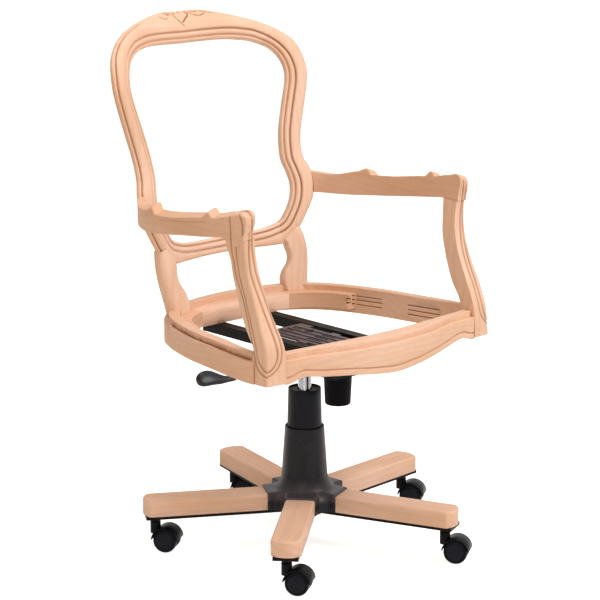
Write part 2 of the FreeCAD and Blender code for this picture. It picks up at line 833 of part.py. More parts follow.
def moulded_section(inner, outer, ovolo):
    """The back's moulding: a flat band, a bead between two grooves, and a round outer edge."""
    width = section_plane(inner, outer)[3]
    t = back_thickness
    corners = [
        (0, t), (0, edge_break), (edge_break, 0),
        (groove_inner - groove_half, 0), (groove_inner, groove_depth), (groove_inner + groove_half, 0),
        (groove_outer - groove_half, 0), (groove_outer, groove_depth), (groove_outer + groove_half, 0),
        (width, ovolo), (width, t - back_edge_round), (width - back_edge_round, t),
    ]
    return section_wire(inner, outer, corners, 8)


def plain_section(inner, outer, thickness, ovolo):
    """A plain member with a round outer edge."""
    width = section_plane(inner, outer)[3]
    corners = [
        (0, thickness), (0, edge_break), (edge_break, 0), (width - ovolo, 0), (width, ovolo),
        (width, thickness - back_edge_round), (width - back_edge_round, thickness),
    ]
    return section_wire(inner, outer, corners, 3)


crest_half = [((0, 560), (0, 629)), ((45, 561), (46, 629.5)), ((88, 561.5), (92, 622)),
              ((115, 560.5), (122, 615)), ((134, 558), (150, 606.5)), ((153, 555), (178, 597.5)),
              ((174, 547), (210, 582))]
stile_stations = [((174, 547), (210, 582)), ((192, 536), (238, 559)), ((207, 515), (251, 532)),
                  ((214, 488), (257, 493)), ((212, 462), (254, 462)), ((205, 436), (246, 427)),
                  ((195, 400), (236.5, 389)), ((184, 356), (226.5, 348)), ((179, 322), (222.5, 318)),
                  ((177.5, 290), (224, 291)), ((183, 264), (232, 269)), ((187, 237), (235, 240)),
                  ((183, 208), (228, 203)), ((172, 182), (212, 170)), ((157, 159), (193, 139))]
foot_stations = [((157, 159), (193, 139)), ((151.5, 154.5), (172, 121)), ((147, 151), (147, 103))]
lower_half = [((0, 137), (0, 102)), ((50, 137), (50, 102)), ((90, 139), (90, 102)), ((120, 143), (120, 102)),
              ((147, 151), (147, 103))]
post_stations = [((150, 111), (190, 146)), ((156, 100), (197, 122)), ((159, 81), (199, 90)),
                 ((154, 60), (196, 60)), ((141, 42), (192, 36)), ((135, 22), (189, 17)),
                 ((137, 3), (187, 0)), ((140, -18), (185, -18))]


def loft(wires):
    return Part.makeLoft(wires, True, False)


def crest_rail():
    left = [((-i[0], i[1]), (-o[0], o[1])) for i, o in reversed(crest_half[1:])]
    stations = left + crest_half
    wires = [moulded_section(inner, outer, ovolo_depth) for inner, outer in stations]
    return loft(wires)


def stile():
    upper = loft([moulded_section(inner, outer, ovolo_depth) for inner, outer in stile_stations])
    foot = loft([moulded_section(inner, outer, ovolo_depth * fade)
                 for (inner, outer), fade in zip(foot_stations, (1.0, 0.5, 0.3))])
    return upper.fuse(foot)


def lower_back_rail():
    left = [((-i[0], i[1]), (-o[0], o[1])) for i, o in reversed(lower_half[1:])]
    wires = [moulded_section(inner, outer, ovolo_depth * 0.3) for inner, outer in left + lower_half]
    return loft(wires)


def rear_post(stile_shape, rail_shapes):
    wires = [plain_section(inner, outer, post_thickness, ovolo_depth) for inner, outer in post_stations]
    body = loft(wires)
    far = 400.0
    body = body.cut(box(-far, far, -far, far, board_top - 100, board_top))
    return body.cut(stile_shape).cut(rail_shapes[0]).cut(rail_shapes[1])


# Front posts: level sections from the foot to the joint under the arm.
front_post_levels = [
    (-56, (265, -237), (313.5, -232.5), (314, -190), (268, -190)),
    (-21, (265.5, -236), (311, -231.5), (313, -191), (268, -190)),
    (14, (265, -231), (309, -226), (311.5, -189), (269, -188)),
    (54, (268, -211), (308, -210.5), (310, -165), (270, -163)),
    (86, (270.5, -193), (305.5, -195.5), (308, -149), (273, -147)),
    (116, (271, -180), (303.5, -182.5), (308, -139), (275, -136)),
    (150, (273.5, -168), (304.5, -170), (309, -129), (278, -126)),
    (179, (276, -163), (305, -165), (311, -125), (282, -122)),
    (202, (279, -162), (306.4, -163), (315.5, -120), (289, -116)),
    (220, (281, -163.5), (307.5, -163), (317.5, -118), (293, -113)),
]


def post_wire(level, corners):
    """A four-sided section with its outer front corner rounded."""
    fi, fo, ro, ri = [Vector(x, y, seat_top + level) for x, y in corners]
    to_fi = (fi - fo).normalize()
    to_ro = (ro - fo).normalize()
    first = fo + to_fi * arris_radius
    last = fo + to_ro * arris_radius
    middle = fo + (to_fi + to_ro) * (arris_radius * 0.25)
    return chain([fi, first], [first, middle, last], [last, ro], [ro, ri], [ri, fi])


def front_post():
    wires = [post_wire(row[0], row[1:]) for row in front_post_levels]
    return loft(wires)


# Arms: in plan, and as heights over the joint with the post.
arm_inner = [(224.0, 238.0), (236.0, 228.0), (266.0, 165.0), (286.0, 116.0), (293.0, 66.0),
             (294.5, 10.0), (297.0, -40.0), (296.5, -90.0), (291.0, -130.0), (283.0, -172.0)]
arm_outer = [(308.5, -172.0), (316.5, -130.0), (321.5, -90.0), (322.5, -40.0), (320.5, 10.0),
             (319.5, 66.0), (312.0, 122.0), (294.0, 172.0), (268.0, 214.0), (240.0, 248.0)]
arm_top = [[(280, 20), (231, 16), (194, 11.5), (160, 15.5), (132, 24)], [(132, 24), (115, 34)],
           [(115, 34), (109, 31), (102, 21)], [(102, 21), (62, 24), (19, 29), (-25, 36), (-52, 40)],
           [(-52, 40), (-67, 53)], [(-67, 53), (-74, 52), (-81, 43)],
           [(-81, 43), (-113, 49), (-140, 54), (-160, 55), (-169, 48), (-170, 34), (-165, 18), (-163.5, 0)]]
arm_under = [[(-163.5, 0), (-104, 0)], [(-104, 0), (-68, -4.5), (-11, -11), (48, -18), (105, -24), (158, -27),
                                       (232, -27), (300, -27)]]


def arm(stile_shape):
    """An arm where three prisms meet: its plan, its top with the pad's stops, and its underside."""
    reach = 360.0
    spare = 120.0
    inner = at_level(arm_inner, arm_joint_z - spare)
    outer = at_level(arm_outer, arm_joint_z - spare)
    plan = prism(chain(inner, [inner[-1], outer[0]], outer, [outer[-1], inner[0]]), Vector(0, 0, 2 * spare))
    lift = arm_joint_z + arm_slant * arm_inner_x
    tops = [[Vector(0, y, lift + z) for y, z in run] for run in arm_top]
    back_end = tops[0][0]
    front_end = tops[-1][-1]
    low_back = back_end - Vector(0, 0, 2 * spare)
    low_front = Vector(0, front_end.y, low_back.z)
    wire = chain(*tops, [front_end, low_front], [low_front, low_back], [low_back, back_end])
    top = prism(wire, Vector(reach, 0, -reach * arm_slant))
    unders = [[Vector(0, y, arm_joint_z + z) for y, z in run] for run in arm_under]
    back_end = unders[-1][-1]
    front_end = Vector(0, unders[0][0].y - spare, arm_joint_z)
    high_back = back_end + Vector(0, 0, 2 * spare)
    high_front = Vector(0, front_end.y, high_back.z)
    wire = chain(*unders, [back_end, high_back], [high_back, high_front], [high_front, front_end],
                 [front_end, unders[0][0]])
    lower = prism(wire, Vector(reach, 0, 0))
    return plan.common(top).common(lower).cut(stile_shape)


def main():
    os.makedirs("parts", exist_ok=True)
    save("base_spider", base_spider())
    save("base_cover", base_cover())
    save("upper_sleeve", upper_sleeve())
    save("gas_cylinder", gas_cylinder())
    save("cap_screws", cap_screws())
    names = "abcde"
    plain_cap = cap()
    plain_hood = hood()
    plain_axle = axle()
    inner_wheel, outer_wheel = wheel_pair()
    for name, angle in zip(names, arm_angles()):
        save("arm_cap_" + name, turned(plain_cap, angle))
        save("caster_hood_" + name, at_caster(plain_hood, angle))
        save("caster_axle_" + name, at_caster(plain_axle, angle))
        save("caster_wheel_" + name + "1", at_caster(inner_wheel, angle))
        save("caster_wheel_" + name + "2", at_caster(outer_wheel, angle))
    save("lift_rod", lift_rod())
    save("release_button", release_button())
    save("tilt_housing", housing())
    save("tilt_pin", pivot_pin())
    save("tension_knob", tension_knob())
    save("tension_spring", tension_spring())
    save("lift_lever_rod", lever_rod())
    save("lift_lever_paddle", lever_paddle())
    save("seat_plate", seat_plate())
    left_bar = bar()
    save("seat_bar_left", left_bar)
    save("seat_bar_right", mirrored(left_bar))
    save("seat_bolts", seat_bolts())
    left_post = front_post()
    right_post = mirrored(left_post)
    save("front_post_left", left_post)
    save("front_post_right", right_post)
    save("front_rail", front_rail([left_post, right_post]))
    side, back, board, block, front = seat_frame([left_post, right_post])
    save("side_rail_left", side)
    save("side_rail_right", mirrored(side))
    save("back_rail", back)
    save("back_board", board)
    save("front_board", front)
    save("corner_block_left", block)
    save("corner_block_right", mirrored(block))
    left_stile = stile()
    save("stile_left", left_stile)
    save("stile_right", mirrored(left_stile))
    save("crest_rail", crest_rail())
    save("lower_back_rail", lower_back_rail())
    left_rear_post = rear_post(left_stile, [back, side])
    save("rear_post_left", left_rear_post)
    save("rear_post_right", mirrored(left_rear_post))
    left_arm = arm(left_stile)
    save("arm_left", left_arm)
    save("arm_right", mirrored(left_arm))


main()
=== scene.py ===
import math

import bmesh
import bpy
from mathutils import Matrix, Vector, kdtree
from mathutils.bvhtree import BVHTree


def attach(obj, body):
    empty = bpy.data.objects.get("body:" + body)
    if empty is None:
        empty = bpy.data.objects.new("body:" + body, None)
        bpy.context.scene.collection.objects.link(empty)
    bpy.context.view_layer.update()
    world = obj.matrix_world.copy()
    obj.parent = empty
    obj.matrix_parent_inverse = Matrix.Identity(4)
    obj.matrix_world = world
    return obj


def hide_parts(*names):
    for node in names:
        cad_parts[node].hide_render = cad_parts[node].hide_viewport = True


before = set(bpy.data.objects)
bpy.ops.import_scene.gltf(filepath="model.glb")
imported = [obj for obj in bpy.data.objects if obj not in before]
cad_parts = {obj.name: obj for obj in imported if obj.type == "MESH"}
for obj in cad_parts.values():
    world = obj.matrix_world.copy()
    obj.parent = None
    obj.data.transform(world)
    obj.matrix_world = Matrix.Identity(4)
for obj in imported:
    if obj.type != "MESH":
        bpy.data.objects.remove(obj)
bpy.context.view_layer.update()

scene = bpy.context.scene
scene.view_settings.view_transform = "Standard"


# Camera at the photograph's standpoint: where it stands, and the turn and drop of its view
camera_around = math.radians(-42.721)
camera_reach = 4.4923
camera_height = 1.5877
view_turn = math.radians(-42.598)
view_drop = math.radians(13.338)
lens_length = 133.36


def make_camera():
    level = math.cos(view_drop)
    forward = Vector((-math.sin(view_turn) * level, math.cos(view_turn) * level, -math.sin(view_drop)))
    data = bpy.data.cameras.new("camera")
    data.sensor_width = 36.0
    data.lens = lens_length
    data.clip_start = 0.1
    data.clip_end = 50.0
    camera = bpy.data.objects.new("camera", data)
    camera.location = (camera_reach * math.sin(camera_around), -camera_reach * math.cos(camera_around),
                       camera_height)
    camera.rotation_mode = "QUATERNION"
    camera.rotation_quaternion = forward.to_track_quat("-Z", "Y")
    scene.collection.objects.link(camera)
    scene.camera = camera


make_camera()


# Helpers for shader nodes
def new_material(name):
    material = bpy.data.materials.new(name)
    material.use_nodes = True
    nodes = material.node_tree.nodes
    shader = next(node for node in nodes if node.type == "BSDF_PRINCIPLED")
    return material, nodes, material.node_tree.links, shader


def add(nodes, kind, **settings):
    node = nodes.new(kind)
    for name, value in settings.items():
        setattr(node, name, value)
    return node


def set_inputs(node, **values):
    for name, value in values.items():
        node.inputs[name.replace("_", " ")].default_value = value


def new_group(name, inputs, outputs):
    group = bpy.data.node_groups.new(name, "ShaderNodeTree")
    for label, kind in inputs:
        group.interface.new_socket(name=label, in_out="INPUT", socket_type=kind)
    for label, kind in outputs:
        group.interface.new_socket(name=label, in_out="OUTPUT", socket_type=kind)
    start = group.nodes.new("NodeGroupInput")
    finish = group.nodes.new("NodeGroupOutput")
    return group, start, finish


def noise(nodes, links, vector, scale, detail=3.0, roughness=0.55):
    node = add(nodes, "ShaderNodeTexNoise")
    set_inputs(node, Scale=scale, Detail=detail, Roughness=roughness)
    links.new(vector, node.inputs["Vector"])
    return node.outputs["Fac"]


def stretch(nodes, links, vector, scale):
    node = add(nodes, "ShaderNodeMapping")
    node.inputs["Scale"].default_value = scale
    links.new(vector, node.inputs["Vector"])
    return node.outputs["Vector"]


def ramp(nodes, links, value, low, high, to_low=0.0, to_high=1.0):
    node = add(nodes, "ShaderNodeMapRange", interpolation_type="SMOOTHSTEP")
    set_inputs(node, From_Min=low, From_Max=high, To_Min=to_low, To_Max=to_high)
    links.new(value, node.inputs["Value"])
    return node.outputs["Result"]


def mix(nodes, links, factor, first, second):
    node = add(nodes, "ShaderNodeMix", data_type="RGBA", blend_type="MIX")
    for socket, value in (("Factor_Float", factor), ("A_Color", first), ("B_Color", second)):
        target = next(item for item in node.inputs if item.identifier == socket)
        if hasattr(value, "links"):
            links.new(value, target)
        else:
            target.default_value = value
    return next(item for item in node.outputs if item.identifier == "Result_Color")


def combined(nodes, links, operation, first, second):
    """One sum on two values, each an output or a plain number."""
    node = add(nodes, "ShaderNodeMath", operation=operation)
    for index, value in enumerate((first, second)):
        if hasattr(value, "links"):
            links.new(value, node.inputs[index])
        else:
            node.inputs[index].default_value = value
    return node.outputs[0]


# Beech: faint growth lines, fibres and short ray flecks, with the grain along the X of the vector handed in
wood_pale = (0.825, 0.565, 0.440, 1.0)
wood_warm = (0.740, 0.470, 0.325, 1.0)
wood_orange = (0.600, 0.300, 0.150, 1.0)
wood_line = (0.520, 0.290, 0.170, 1.0)
wood_brown = (0.350, 0.165, 0.080, 1.0)
# Painted shade: the dark brown painted into grooves, carved lines and cuts in place of the shade inside
# them
wood_groove_shade = (0.330, 0.140, 0.055, 1.0)

# How finely each mark of the beech repeats along the grain and across it, to the metre
drift_scale = (3.0, 9.0, 9.0)
ring_stretch = (0.06, 1.0, 1.6)
patch_scale = (5.0, 11.0, 11.0)
fibre_scale = (45.0, 900.0, 900.0)
fleck_scale = (160.0, 900.0, 900.0)
rings_per_metre = 26.0
ring_drift = (0.0, 0.035, 0.045)


def beech_group():
    group, start, finish = new_group(
        "beech grain",
        [("Vector", "NodeSocketVector"), ("Groove", "NodeSocketFloat"), ("Warmth", "NodeSocketFloat")],
        [("Color", "NodeSocketColor"), ("Roughness", "NodeSocketFloat"), ("Height", "NodeSocketFloat")])
    nodes, links = group.nodes, group.links
    vector = start.outputs["Vector"]
    drift = noise(nodes, links, stretch(nodes, links, vector, drift_scale), 1.0, 2.0)
    bend = add(nodes, "ShaderNodeVectorMath", operation="MULTIPLY_ADD")
    links.new(drift, bend.inputs[0])
    bend.inputs[1].default_value = ring_drift
    links.new(vector, bend.inputs[2])
    rings = add(nodes, "ShaderNodeTexWave", wave_type="BANDS", bands_direction="DIAGONAL")
    set_inputs(rings, Scale=rings_per_metre, Distortion=1.6, Detail=2.0, Detail_Scale=1.2)
    links.new(stretch(nodes, links, bend.outputs[0], ring_stretch), rings.inputs["Vector"])
    patches = noise(nodes, links, stretch(nodes, links, vector, patch_scale), 1.0, 3.0)
    fibres = noise(nodes, links, stretch(nodes, links, vector, fibre_scale), 1.0, 3.0, 0.65)
    flecks = add(nodes, "ShaderNodeTexVoronoi", feature="F1")
    set_inputs(flecks, Scale=1.0, Randomness=1.0)
    links.new(stretch(nodes, links, vector, fleck_scale), flecks.inputs["Vector"])
    rays = ramp(nodes, links, flecks.outputs["Distance"], 0.10, 0.24, 1.0, 0.0)
    base = mix(nodes, links, ramp(nodes, links, patches, 0.32, 0.72), wood_pale, wood_warm)
    base = mix(nodes, links, start.outputs["Warmth"], base, wood_orange)
    lines = ramp(nodes, links, rings.outputs["Fac"], 0.50, 1.0, 0.0, 0.13)
    base = mix(nodes, links, lines, base, wood_line)
    base = mix(nodes, links, ramp(nodes, links, fibres, 0.42, 0.72, 0.0, 0.15), base, wood_line)
    base = mix(nodes, links, combined(nodes, links, "MULTIPLY", rays, 0.22), base, wood_brown)
    # Painted shade in grooves and cuts, as strong as the Groove input
    base = mix(nodes, links, start.outputs["Groove"], base, wood_groove_shade)
    links.new(base, finish.inputs["Color"])
    links.new(ramp(nodes, links, fibres, 0.2, 0.8, 0.50, 0.66), finish.inputs["Roughness"])
    height = combined(nodes, links, "SUBTRACT", fibres, combined(nodes, links, "MULTIPLY", rays, 0.5))
    links.new(height, finish.inputs["Height"])
    return group


beech_shared = beech_group()
grain_turns = {"x": (0.0, 0.0, 0.0), "y": (0.0, 0.0, math.pi / 2), "z": (0.0, math.pi / 2, 0.0)}


def beech(name, along, shift=0.0, turn=0.0, warmth=0.0, inside_cut_shade=0.0):
    """Bare beech with its grain along x, y or z, or at a turn in plan; inside a cut it is painted darker,
    as shade.
    """
    material, nodes, links, shader = new_material(name)
    place = add(nodes, "ShaderNodeTexCoord")
    lay = add(nodes, "ShaderNodeMapping")
    rotation = list(grain_turns[along])
    rotation[2] += turn
    lay.inputs["Rotation"].default_value = rotation
    lay.inputs["Location"].default_value = (shift, shift * 1.7, shift * 0.6)
    links.new(place.outputs["Object"], lay.inputs["Vector"])
    grain = add(nodes, "ShaderNodeGroup", node_tree=beech_shared)
    grain.inputs["Warmth"].default_value = warmth
    links.new(lay.outputs["Vector"], grain.inputs["Vector"])
    # The groove marks on the mesh and the shade given for inside cuts both paint the beech darker, as shade
    cut = add(nodes, "ShaderNodeAttribute", attribute_name="groove")
    links.new(combined(nodes, links, "MAXIMUM", cut.outputs["Fac"], inside_cut_shade), grain.inputs["Groove"])
    links.new(grain.outputs["Color"], shader.inputs["Base Color"])
    links.new(grain.outputs["Roughness"], shader.inputs["Roughness"])
    bump = add(nodes, "ShaderNodeBump")
    set_inputs(bump, Strength=0.25, Distance=0.0004)
    links.new(grain.outputs["Height"], bump.inputs["Height"])
    links.new(bump.outputs["Normal"], shader.inputs["Normal"])
    shader.inputs["Specular IOR Level"].default_value = 0.30
    return material


def beech_for(node, along, shift, turn=0.0, warmth=0.0):
    """The beech of one member, shifted so that no two members show the same grain."""
    return beech(node.replace("_", " ") + " beech", along, shift, turn, warmth)


# The cut faces of the joint slots and the rim groove: beech painted darker, as the shade inside them
joint_shade_beech = beech("beech with painted shade inside joints", "y", 0.61, warmth=1.0, inside_cut_shade=0.6)


# Moulded plastic, paint and bare metal: fine grain, dust and smudges, and a painted sheen low on the bell
# Painted sheen: a lighter grey standing in for the highlight on the bell's flare
flare_sheen_colour = (0.052, 0.044, 0.050, 1.0)


def surface_group():
    group, start, finish = new_group(
        "fine surface", [("Vector", "NodeSocketVector"), ("Grain", "NodeSocketFloat")],
        [("Grain", "NodeSocketFloat"), ("Dust", "NodeSocketFloat"), ("Smudge", "NodeSocketFloat")])
    nodes, links = group.nodes, group.links
    vector = start.outputs["Vector"]
    fine = add(nodes, "ShaderNodeTexNoise")
    set_inputs(fine, Detail=2.0, Roughness=0.6)
    links.new(vector, fine.inputs["Vector"])
    links.new(start.outputs["Grain"], fine.inputs["Scale"])
    links.new(fine.outputs["Fac"], finish.inputs["Grain"])
    dust = noise(nodes, links, vector, 60.0, 5.0, 0.7)
    links.new(ramp(nodes, links, dust, 0.45, 0.75), finish.inputs["Dust"])
    smudge = noise(nodes, links, vector, 14.0, 3.0)
    links.new(smudge, finish.inputs["Smudge"])
    return group


surface_shared = surface_group()


def coated(name, colour, dusty, grain, low, high, metallic=0.0, bump_height=0.0001, strength=0.3,
           shine=0.5, sheen_between=None):
    """A surface of one colour, with its dusty colour, its grain and its range of roughness.

    A painted sheen, a lighter colour standing in for a highlight, lies between two heights, strongest at
    the lower one.
    """
    material, nodes, links, shader = new_material(name)
    place = add(nodes, "ShaderNodeTexCoord")
    shared = add(nodes, "ShaderNodeGroup", node_tree=surface_shared)
    shared.inputs["Grain"].default_value = grain
    links.new(place.outputs["Object"], shared.inputs["Vector"])
    colour_mix = mix(nodes, links, combined(nodes, links, "MULTIPLY", shared.outputs["Dust"], 0.5),
                     colour + (1.0,), dusty + (1.0,))
    # Painted sheen: the lighter colour on the band between the two heights
    if sheen_between:
        sheen_foot, sheen_top = sheen_between
        parts = add(nodes, "ShaderNodeSeparateXYZ")
        links.new(place.outputs["Object"], parts.inputs[0])
        above = ramp(nodes, links, parts.outputs["Z"], sheen_foot, sheen_top, 0.9, 0.0)
        below = ramp(nodes, links, parts.outputs["Z"], sheen_foot - 0.016, sheen_foot - 0.004)
        flare_sheen = combined(nodes, links, "MULTIPLY", above, below)
        colour_mix = mix(nodes, links, flare_sheen, colour_mix, flare_sheen_colour)
    links.new(colour_mix, shader.inputs["Base Color"])
    smudges = ramp(nodes, links, shared.outputs["Smudge"], 0.25, 0.75, low, high)
    links.new(smudges, shader.inputs["Roughness"])
    shader.inputs["Metallic"].default_value = metallic
    shader.inputs["Specular IOR Level"].default_value = shine
    bump = add(nodes, "ShaderNodeBump")
    set_inputs(bump, Strength=strength, Distance=bump_height)
    links.new(shared.outputs["Grain"], bump.inputs["Height"])
    links.new(bump.outputs["Normal"], shader.inputs["Normal"])
    return material


# The bell's flare gets a painted sheen between 112 and 150 mm up
bell_plastic = coated("bell plastic", (0.0065, 0.0055, 0.0085), (0.020, 0.017, 0.021), 1500.0, 0.28, 0.40,
                      bump_height=0.0003, strength=0.4, shine=0.17, sheen_between=(0.112, 0.150))
sleeve_plastic = coated("sleeve plastic", (0.0045, 0.0045, 0.0085), (0.010, 0.009, 0.014), 1800.0, 0.36,
                        0.48, bump_height=0.0002, shine=0.12)
wheel_plastic = coated("wheel plastic", (0.0045, 0.0050, 0.0095), (0.012, 0.012, 0.018), 900.0, 0.36, 0.48,
                       shine=0.10)
hood_plastic = coated("hood plastic", (0.0020, 0.0020, 0.0030), (0.006, 0.006, 0.008), 1600.0, 0.30, 0.42,
                      shine=0.08)
knob_plastic = coated("knob plastic", (0.0020, 0.0015, 0.0025), (0.005, 0.004, 0.006), 1600.0, 0.44, 0.56,
                      shine=0.05)
paddle_plastic = coated("paddle plastic", (0.0110, 0.0105, 0.0130), (0.018, 0.018, 0.020), 1400.0, 0.28,
                        0.38, shine=0.28)
black_paint = coated("black paint", (0.0025, 0.0020, 0.0022), (0.014, 0.010, 0.009), 700.0, 0.38, 0.52,
                     bump_height=0.0002, shine=0.09)
plate_paint = coated("plate paint", (0.085, 0.064, 0.074), (0.17, 0.130, 0.14), 500.0, 0.36, 0.52,
                     metallic=0.3, bump_height=0.0002, shine=0.3)
zinc = coated("zinc", (0.52, 0.52, 0.53), (0.36, 0.35, 0.34), 700.0, 0.28, 0.42, metallic=1.0)
chrome = coated("chrome", (0.44, 0.44, 0.46), (0.36, 0.36, 0.38), 900.0, 0.16, 0.24, metallic=1.0,
                strength=0.05)


# Meshes: merged copies of the solids, even skins, sweeps and carved lines
millimetre = 0.001
spin_steps = 96
line_step = 0.4
outward = {"left": 1, "right": -1}


def eased(value, start, run):
    """Nought up to the start, one after the run, and a smooth rise between them."""
    share = min(max((value - start) / run, 0.0), 1.0)
    return share * share * (3 - 2 * share)


def merged(node):
    mesh = bmesh.new()
    mesh.from_mesh(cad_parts[node].data)
    bmesh.ops.remove_doubles(mesh, verts=mesh.verts, dist=0.00002)
    bmesh.ops.dissolve_degenerate(mesh, dist=0.00001, edges=mesh.edges)
    return mesh


def made_object(mesh, name):
    data = bpy.data.meshes.new(name)
    mesh.to_mesh(data)
    mesh.free()
    piece = bpy.data.objects.new(name, data)
    scene.collection.objects.link(piece)
    return piece


def settled(piece):
    """The piece's mesh with its modifiers applied; the piece itself is thrown away."""
    graph = bpy.context.evaluated_depsgraph_get()
    data = bpy.data.meshes.new_from_object(piece.evaluated_get(graph))
    mesh = bmesh.new()
    mesh.from_mesh(data)
    old = piece.data
    bpy.data.objects.remove(piece)
    bpy.data.meshes.remove(old)
    bpy.data.meshes.remove(data)
    return mesh


def smoothed(mesh, verts, rounds):
    for _ in range(rounds):
        bmesh.ops.smooth_vert(mesh, verts=verts, factor=0.5,
                              use_axis_x=True, use_axis_y=True, use_axis_z=True)


def skin_of(mesh, voxel, rounds):
    """The shape as an even skin of small faces, eased by rounds of smoothing."""
    piece = made_object(mesh, "raw")
    remesh = piece.modifiers.new("skin", "REMESH")
    remesh.mode = "VOXEL"
    remesh.voxel_size = voxel
    skin = settled(piece)
    smoothed(skin, skin.verts, rounds)
    return skin


def two_slots(piece):
    """Empty slots for the material of the outer faces and of the cut ones."""
    for _ in range(2):
        piece.data.materials.append(None)


def cut_away(mesh, cutters):
    """The mesh with each cutter's mesh taken out of it; the faces of the cuts take the second material."""
    piece = made_object(mesh, "raw")
    two_slots(piece)
    tools = []
    for cutter in cutters:
        for face in cutter.faces:
            face.material_index = 1
        tool = made_object(cutter, "cutter")
        two_slots(tool)
        tools.append(tool)
        cut = piece.modifiers.new("cut", "BOOLEAN")
        cut.operation = "DIFFERENCE"
        cut.solver = "EXACT"
        cut.object = tool
    result = settled(piece)
    for tool in tools:
        data = tool.data
        bpy.data.objects.remove(tool)
        bpy.data.meshes.remove(data)
    return result


def box_mesh(low, high, turn=0.0, shift=(0.0, 0.0, 0.0)):
    """A box between two corners, in millimetres, turned in plan about its own origin and then shifted."""
    mesh = bmesh.new()
    bmesh.ops.create_cube(mesh, size=1.0)
    size = [(b - a) * millimetre for a, b in zip(low, high)]
    middle = [(a + b) / 2 * millimetre for a, b in zip(low, high)]
    bmesh.ops.scale(mesh, vec=size, verts=mesh.verts)
    bmesh.ops.translate(mesh, vec=middle, verts=mesh.verts)
    bmesh.ops.rotate(mesh, cent=(0.0, 0.0, 0.0), matrix=Matrix.Rotation(turn, 3, "Z"), verts=mesh.verts)
    bmesh.ops.translate(mesh, vec=[value * millimetre for value in shift], verts=mesh.verts)
    return mesh


def spun(profile):
    """A solid turned about Z from (radius, height) points in millimetres, closed on the axis."""
    mesh = bmesh.new()
    row = [mesh.verts.new((r * millimetre, 0.0, z * millimetre)) for r, z in profile]
    edges = [mesh.edges.new(pair) for pair in zip(row, row[1:])]
    bmesh.ops.spin(mesh, geom=row + edges, cent=(0.0, 0.0, 0.0), axis=(0.0, 0.0, 1.0),
                   angle=2 * math.pi, steps=spin_steps, use_merge=True)
    bmesh.ops.remove_doubles(mesh, verts=mesh.verts, dist=0.00001)
    bmesh.ops.recalc_face_normals(mesh, faces=mesh.faces)
    return mesh


def smooth_rows(rows, step):
    """The rows of numbers with more rows between them, on smooth curves through them all."""
    spots = [0.0]
    for before, after in zip(rows, rows[1:]):
        spots.append(spots[-1] + math.dist(before, after))
    slopes = []
    last = len(rows) - 1
    for index in range(len(rows)):
        low = max(index - 1, 0)
        high = min(index + 1, last)
        gap = spots[high] - spots[low]
        slopes.append([(b - a) / gap for a, b in zip(rows[low], rows[high])])
    result = []
    for index in range(last):
        gap = spots[index + 1] - spots[index]
        count = max(1, round(gap / step))
        for tick in range(count):
            t = tick / count
            of_start = 2 * t ** 3 - 3 * t ** 2 + 1
            of_start_slope = (t ** 3 - 2 * t ** 2 + t) * gap
            of_end = -2 * t ** 3 + 3 * t ** 2
            of_end_slope = (t ** 3 - t ** 2) * gap
            ends = zip(rows[index], slopes[index], rows[index + 1], slopes[index + 1])
            result.append([of_start * a + of_start_slope * da + of_end * b + of_end_slope * db
                           for a, da, b, db in ends])
    result.append(list(rows[-1]))
    return result


def sweep(rings):
    """A solid through closed rings of points in millimetres: a grid laid on them, closed at its ends."""
    around = len(rings[0])
    mesh = bmesh.new()
    bmesh.ops.create_grid(mesh, x_segments=around, y_segments=len(rings) - 1, size=1.0)
    mesh.verts.ensure_lookup_table()
    for row, ring in enumerate(rings):
        for column in range(around + 1):
            mesh.verts[row * (around + 1) + column].co = ring[column % around] * millimetre
    bmesh.ops.remove_doubles(mesh, verts=mesh.verts, dist=0.000001)
    bmesh.ops.holes_fill(mesh, edges=[edge for edge in mesh.edges if edge.is_boundary], sides=0)
    bmesh.ops.recalc_face_normals(mesh, faces=mesh.faces)
    return mesh


def tree_of(points):
    """The points in a tree that finds the one nearest to a place."""
    tree = kdtree.KDTree(len(points))
    for index, point in enumerate(points):
        tree.insert(point, index)
    tree.balance()
    return tree


def groove_shade_layer(mesh):
    """The marks of grooves, where the beech is painted darker as shade."""
    return mesh.verts.layers.float.get("groove") or mesh.verts.layers.float.new("groove")


def carve(mesh, lines, shade):
    """Press grooves into the mesh along lines (points in millimetres, half width, depth) and mark them with
    painted shade.
    """
    spots = []
    for points, half, depth in lines:
        for start, finish in zip(points, points[1:]):
            count = max(1, int(math.dist(start, finish) / line_step))
            for tick in range(count + 1):
                spot = Vector(start).lerp(Vector(finish), tick / count) * millimetre
                spots.append((spot, half, depth))
    tree = tree_of([spot for spot, _, _ in spots])
    layer = groove_shade_layer(mesh)
    mesh.normal_update()
    moves = []
    for vert in mesh.verts:
        _, index, away = tree.find(vert.co)
        half, depth = spots[index][1:]
        share = away / (half * millimetre)
        if share < 1.0:
            fall = (1.0 - share ** 2) ** 1.5
            moves.append((vert, vert.normal * (-depth * millimetre * fall)))
            vert[layer] = max(vert[layer], min(1.0, shade * fall ** 1.4))
    for vert, move in moves:
        vert.co += move


def mirror_mesh(mesh):
    bmesh.ops.scale(mesh, vec=(-1.0, 1.0, 1.0), verts=mesh.verts)
    bmesh.ops.recalc_face_normals(mesh, faces=mesh.faces)


